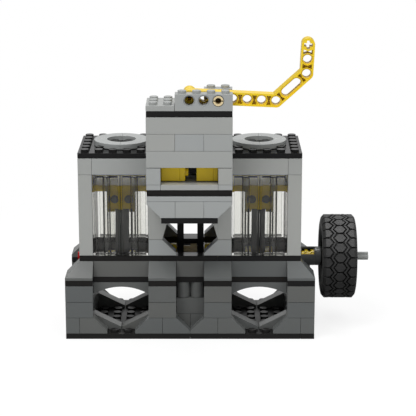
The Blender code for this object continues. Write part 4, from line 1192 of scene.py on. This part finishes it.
def makeStage():
    stage = {"size": 8.0, "colour": (0.63, 0.63, 0.63), "whiteness": (0.92, 0.92, 0.92), "shadowShare": 0.16,
             "nearby": 0.12, "far": 0.3, "gloss": (0.1, 0.45), "mirrored": (0.42, 0.85)}
    letGo()
    bpy.ops.mesh.primitive_plane_add(size=stage["size"], location=(0, 0, 0))
    floor = newest("floor")
    material = bpy.data.materials.new("paleFloor")
    material.use_nodes = True
    tree = material.node_tree
    link = tree.links.new
    surface = tree.nodes["Principled BSDF"]
    surface.inputs["Roughness"].default_value = 1.0
    surface.inputs["Specular IOR Level"].default_value = 0.0
    path = tree.nodes.new("ShaderNodeLightPath")
    colour = tree.nodes.new("ShaderNodeMix")
    colour.data_type = "RGBA"
    colour.inputs["A"].default_value = (*stage["colour"], 1)
    colour.inputs["B"].default_value = (*stage["whiteness"], 1)
    link(path.outputs["Is Camera Ray"], colour.inputs["Factor"])
    link(colour.outputs["Result"], surface.inputs["Base Color"])
    white = tree.nodes.new("ShaderNodeEmission")
    place = tree.nodes.new("ShaderNodeTexCoord").outputs["Object"]
    axes = tree.nodes.new("ShaderNodeSeparateXYZ")
    link(place, axes.inputs[0])
    gloss = eased(tree, axes.outputs["Y"], 0.0, 0.3, *stage["gloss"])
    glossy = mathNode(tree, "MULTIPLY", path.outputs["Is Glossy Ray"], gloss)
    mirrored = eased(tree, axes.outputs["Y"], 0.0, 0.3, *stage["mirrored"])
    link(mathNode(tree, "MAXIMUM", backdropSeen(tree, path, mirrored), glossy), white.inputs["Strength"])
    # the shadow is kept near the object and the floor turns to plain white away from it
    reach = tree.nodes.new("ShaderNodeVectorMath")
    reach.operation = "LENGTH"
    link(place, reach.inputs[0])
    plain = eased(tree, reach.outputs["Value"], stage["nearby"], stage["far"], 1 - stage["shadowShare"], 1.0)
    bounced = mathNode(tree, "MAXIMUM", path.outputs["Is Transmission Ray"], path.outputs["Is Glossy Ray"])
    looked = mathNode(tree, "MULTIPLY", path.outputs["Is Camera Ray"], plain)
    direct = mathNode(tree, "MAXIMUM", bounced, looked)
    mixed = tree.nodes.new("ShaderNodeMixShader")
    link(direct, mixed.inputs["Fac"])
    link(surface.outputs["BSDF"], mixed.inputs[1])
    link(white.outputs["Emission"], mixed.inputs[2])
    link(mixed.outputs["Shader"], tree.nodes["Material Output"].inputs["Surface"])
    floor.data.materials.append(material)


def makeLights():
    sky = {"light": 0.42, "front": 0.1, "horizon": 0.15, "mirrored": 0.42}
    lamps = {
        "key": {"power": 54.0, "size": 1.4, "place": (-1.0, -1.25, 2.6)},
        "fill": {"power": 20.0, "size": 1.4, "place": (1.0, -1.3, 2.2)},
        "top": {"power": 18.0, "size": 1.2, "place": (0.1, 0.35, 2.3)},
    }
    world = bpy.data.worlds.new("paleStudio")
    bpy.context.scene.world = world
    world.use_nodes = True
    tree = world.node_tree
    link = tree.links.new
    back = tree.nodes["Background"]
    back.inputs["Color"].default_value = (1, 1, 1, 1)
    axes = tree.nodes.new("ShaderNodeSeparateXYZ")
    link(tree.nodes.new("ShaderNodeTexCoord").outputs["Generated"], axes.inputs[0])
    path = tree.nodes.new("ShaderNodeLightPath")
    # a reflection shows the white behind and above, and little of the front and the horizon
    behind = eased(tree, axes.outputs["Y"], -0.3, 0.5, sky["front"], 1.0)
    above = eased(tree, axes.outputs["Z"], 0.12, 0.32, sky["horizon"], 1.0)
    backed = mathNode(tree, "MULTIPLY", behind, above)
    glossy = mathNode(tree, "MULTIPLY", path.outputs["Is Glossy Ray"], backed)
    light = mathNode(tree, "MULTIPLY", path.outputs["Is Diffuse Ray"], sky["light"])
    mirrored = mathNode(tree, "MAXIMUM", behind, sky["mirrored"])
    seen = mathNode(tree, "MAXIMUM", backdropSeen(tree, path, mirrored), glossy)
    link(mathNode(tree, "MAXIMUM", light, seen), back.inputs["Strength"])
    for name, look in lamps.items():
        lamp = bpy.data.lights.new(f"{name}Light", "AREA")
        lamp.shape = "DISK"
        lamp.size = look["size"]
        lamp.energy = look["power"]
        holder = bpy.data.objects.new(f"{name}Light", lamp)
        bpy.context.scene.collection.objects.link(holder)
        holder.location = look["place"]
        holder.visible_transmission = False
        aim = Vector((0, 0, 0.08)) - holder.location
        holder.rotation_euler = aim.to_track_quat("-Z", "Y").to_euler()


def makeCamera():
    view = {"place": (0.010846, -0.915105, 0.310836), "pitch": 0.257105, "turn": 0.000569, "lens": 139.146}
    lens = bpy.data.cameras.new("photoView")
    lens.lens = view["lens"]
    lens.sensor_width = 36.0
    lens.clip_start = 0.01
    holder = bpy.data.objects.new("photoView", lens)
    bpy.context.scene.collection.objects.link(holder)
    holder.location = view["place"]
    holder.rotation_euler = (math.pi / 2 - view["pitch"], 0, view["turn"])
    bpy.context.scene.camera = holder


bpy.data.objects.remove(studPattern, do_unlink=True)
makeStage()
makeLights()
makeCamera()
bpy.context.scene.view_settings.view_transform = "Standard"
print("stage, lights and camera made")
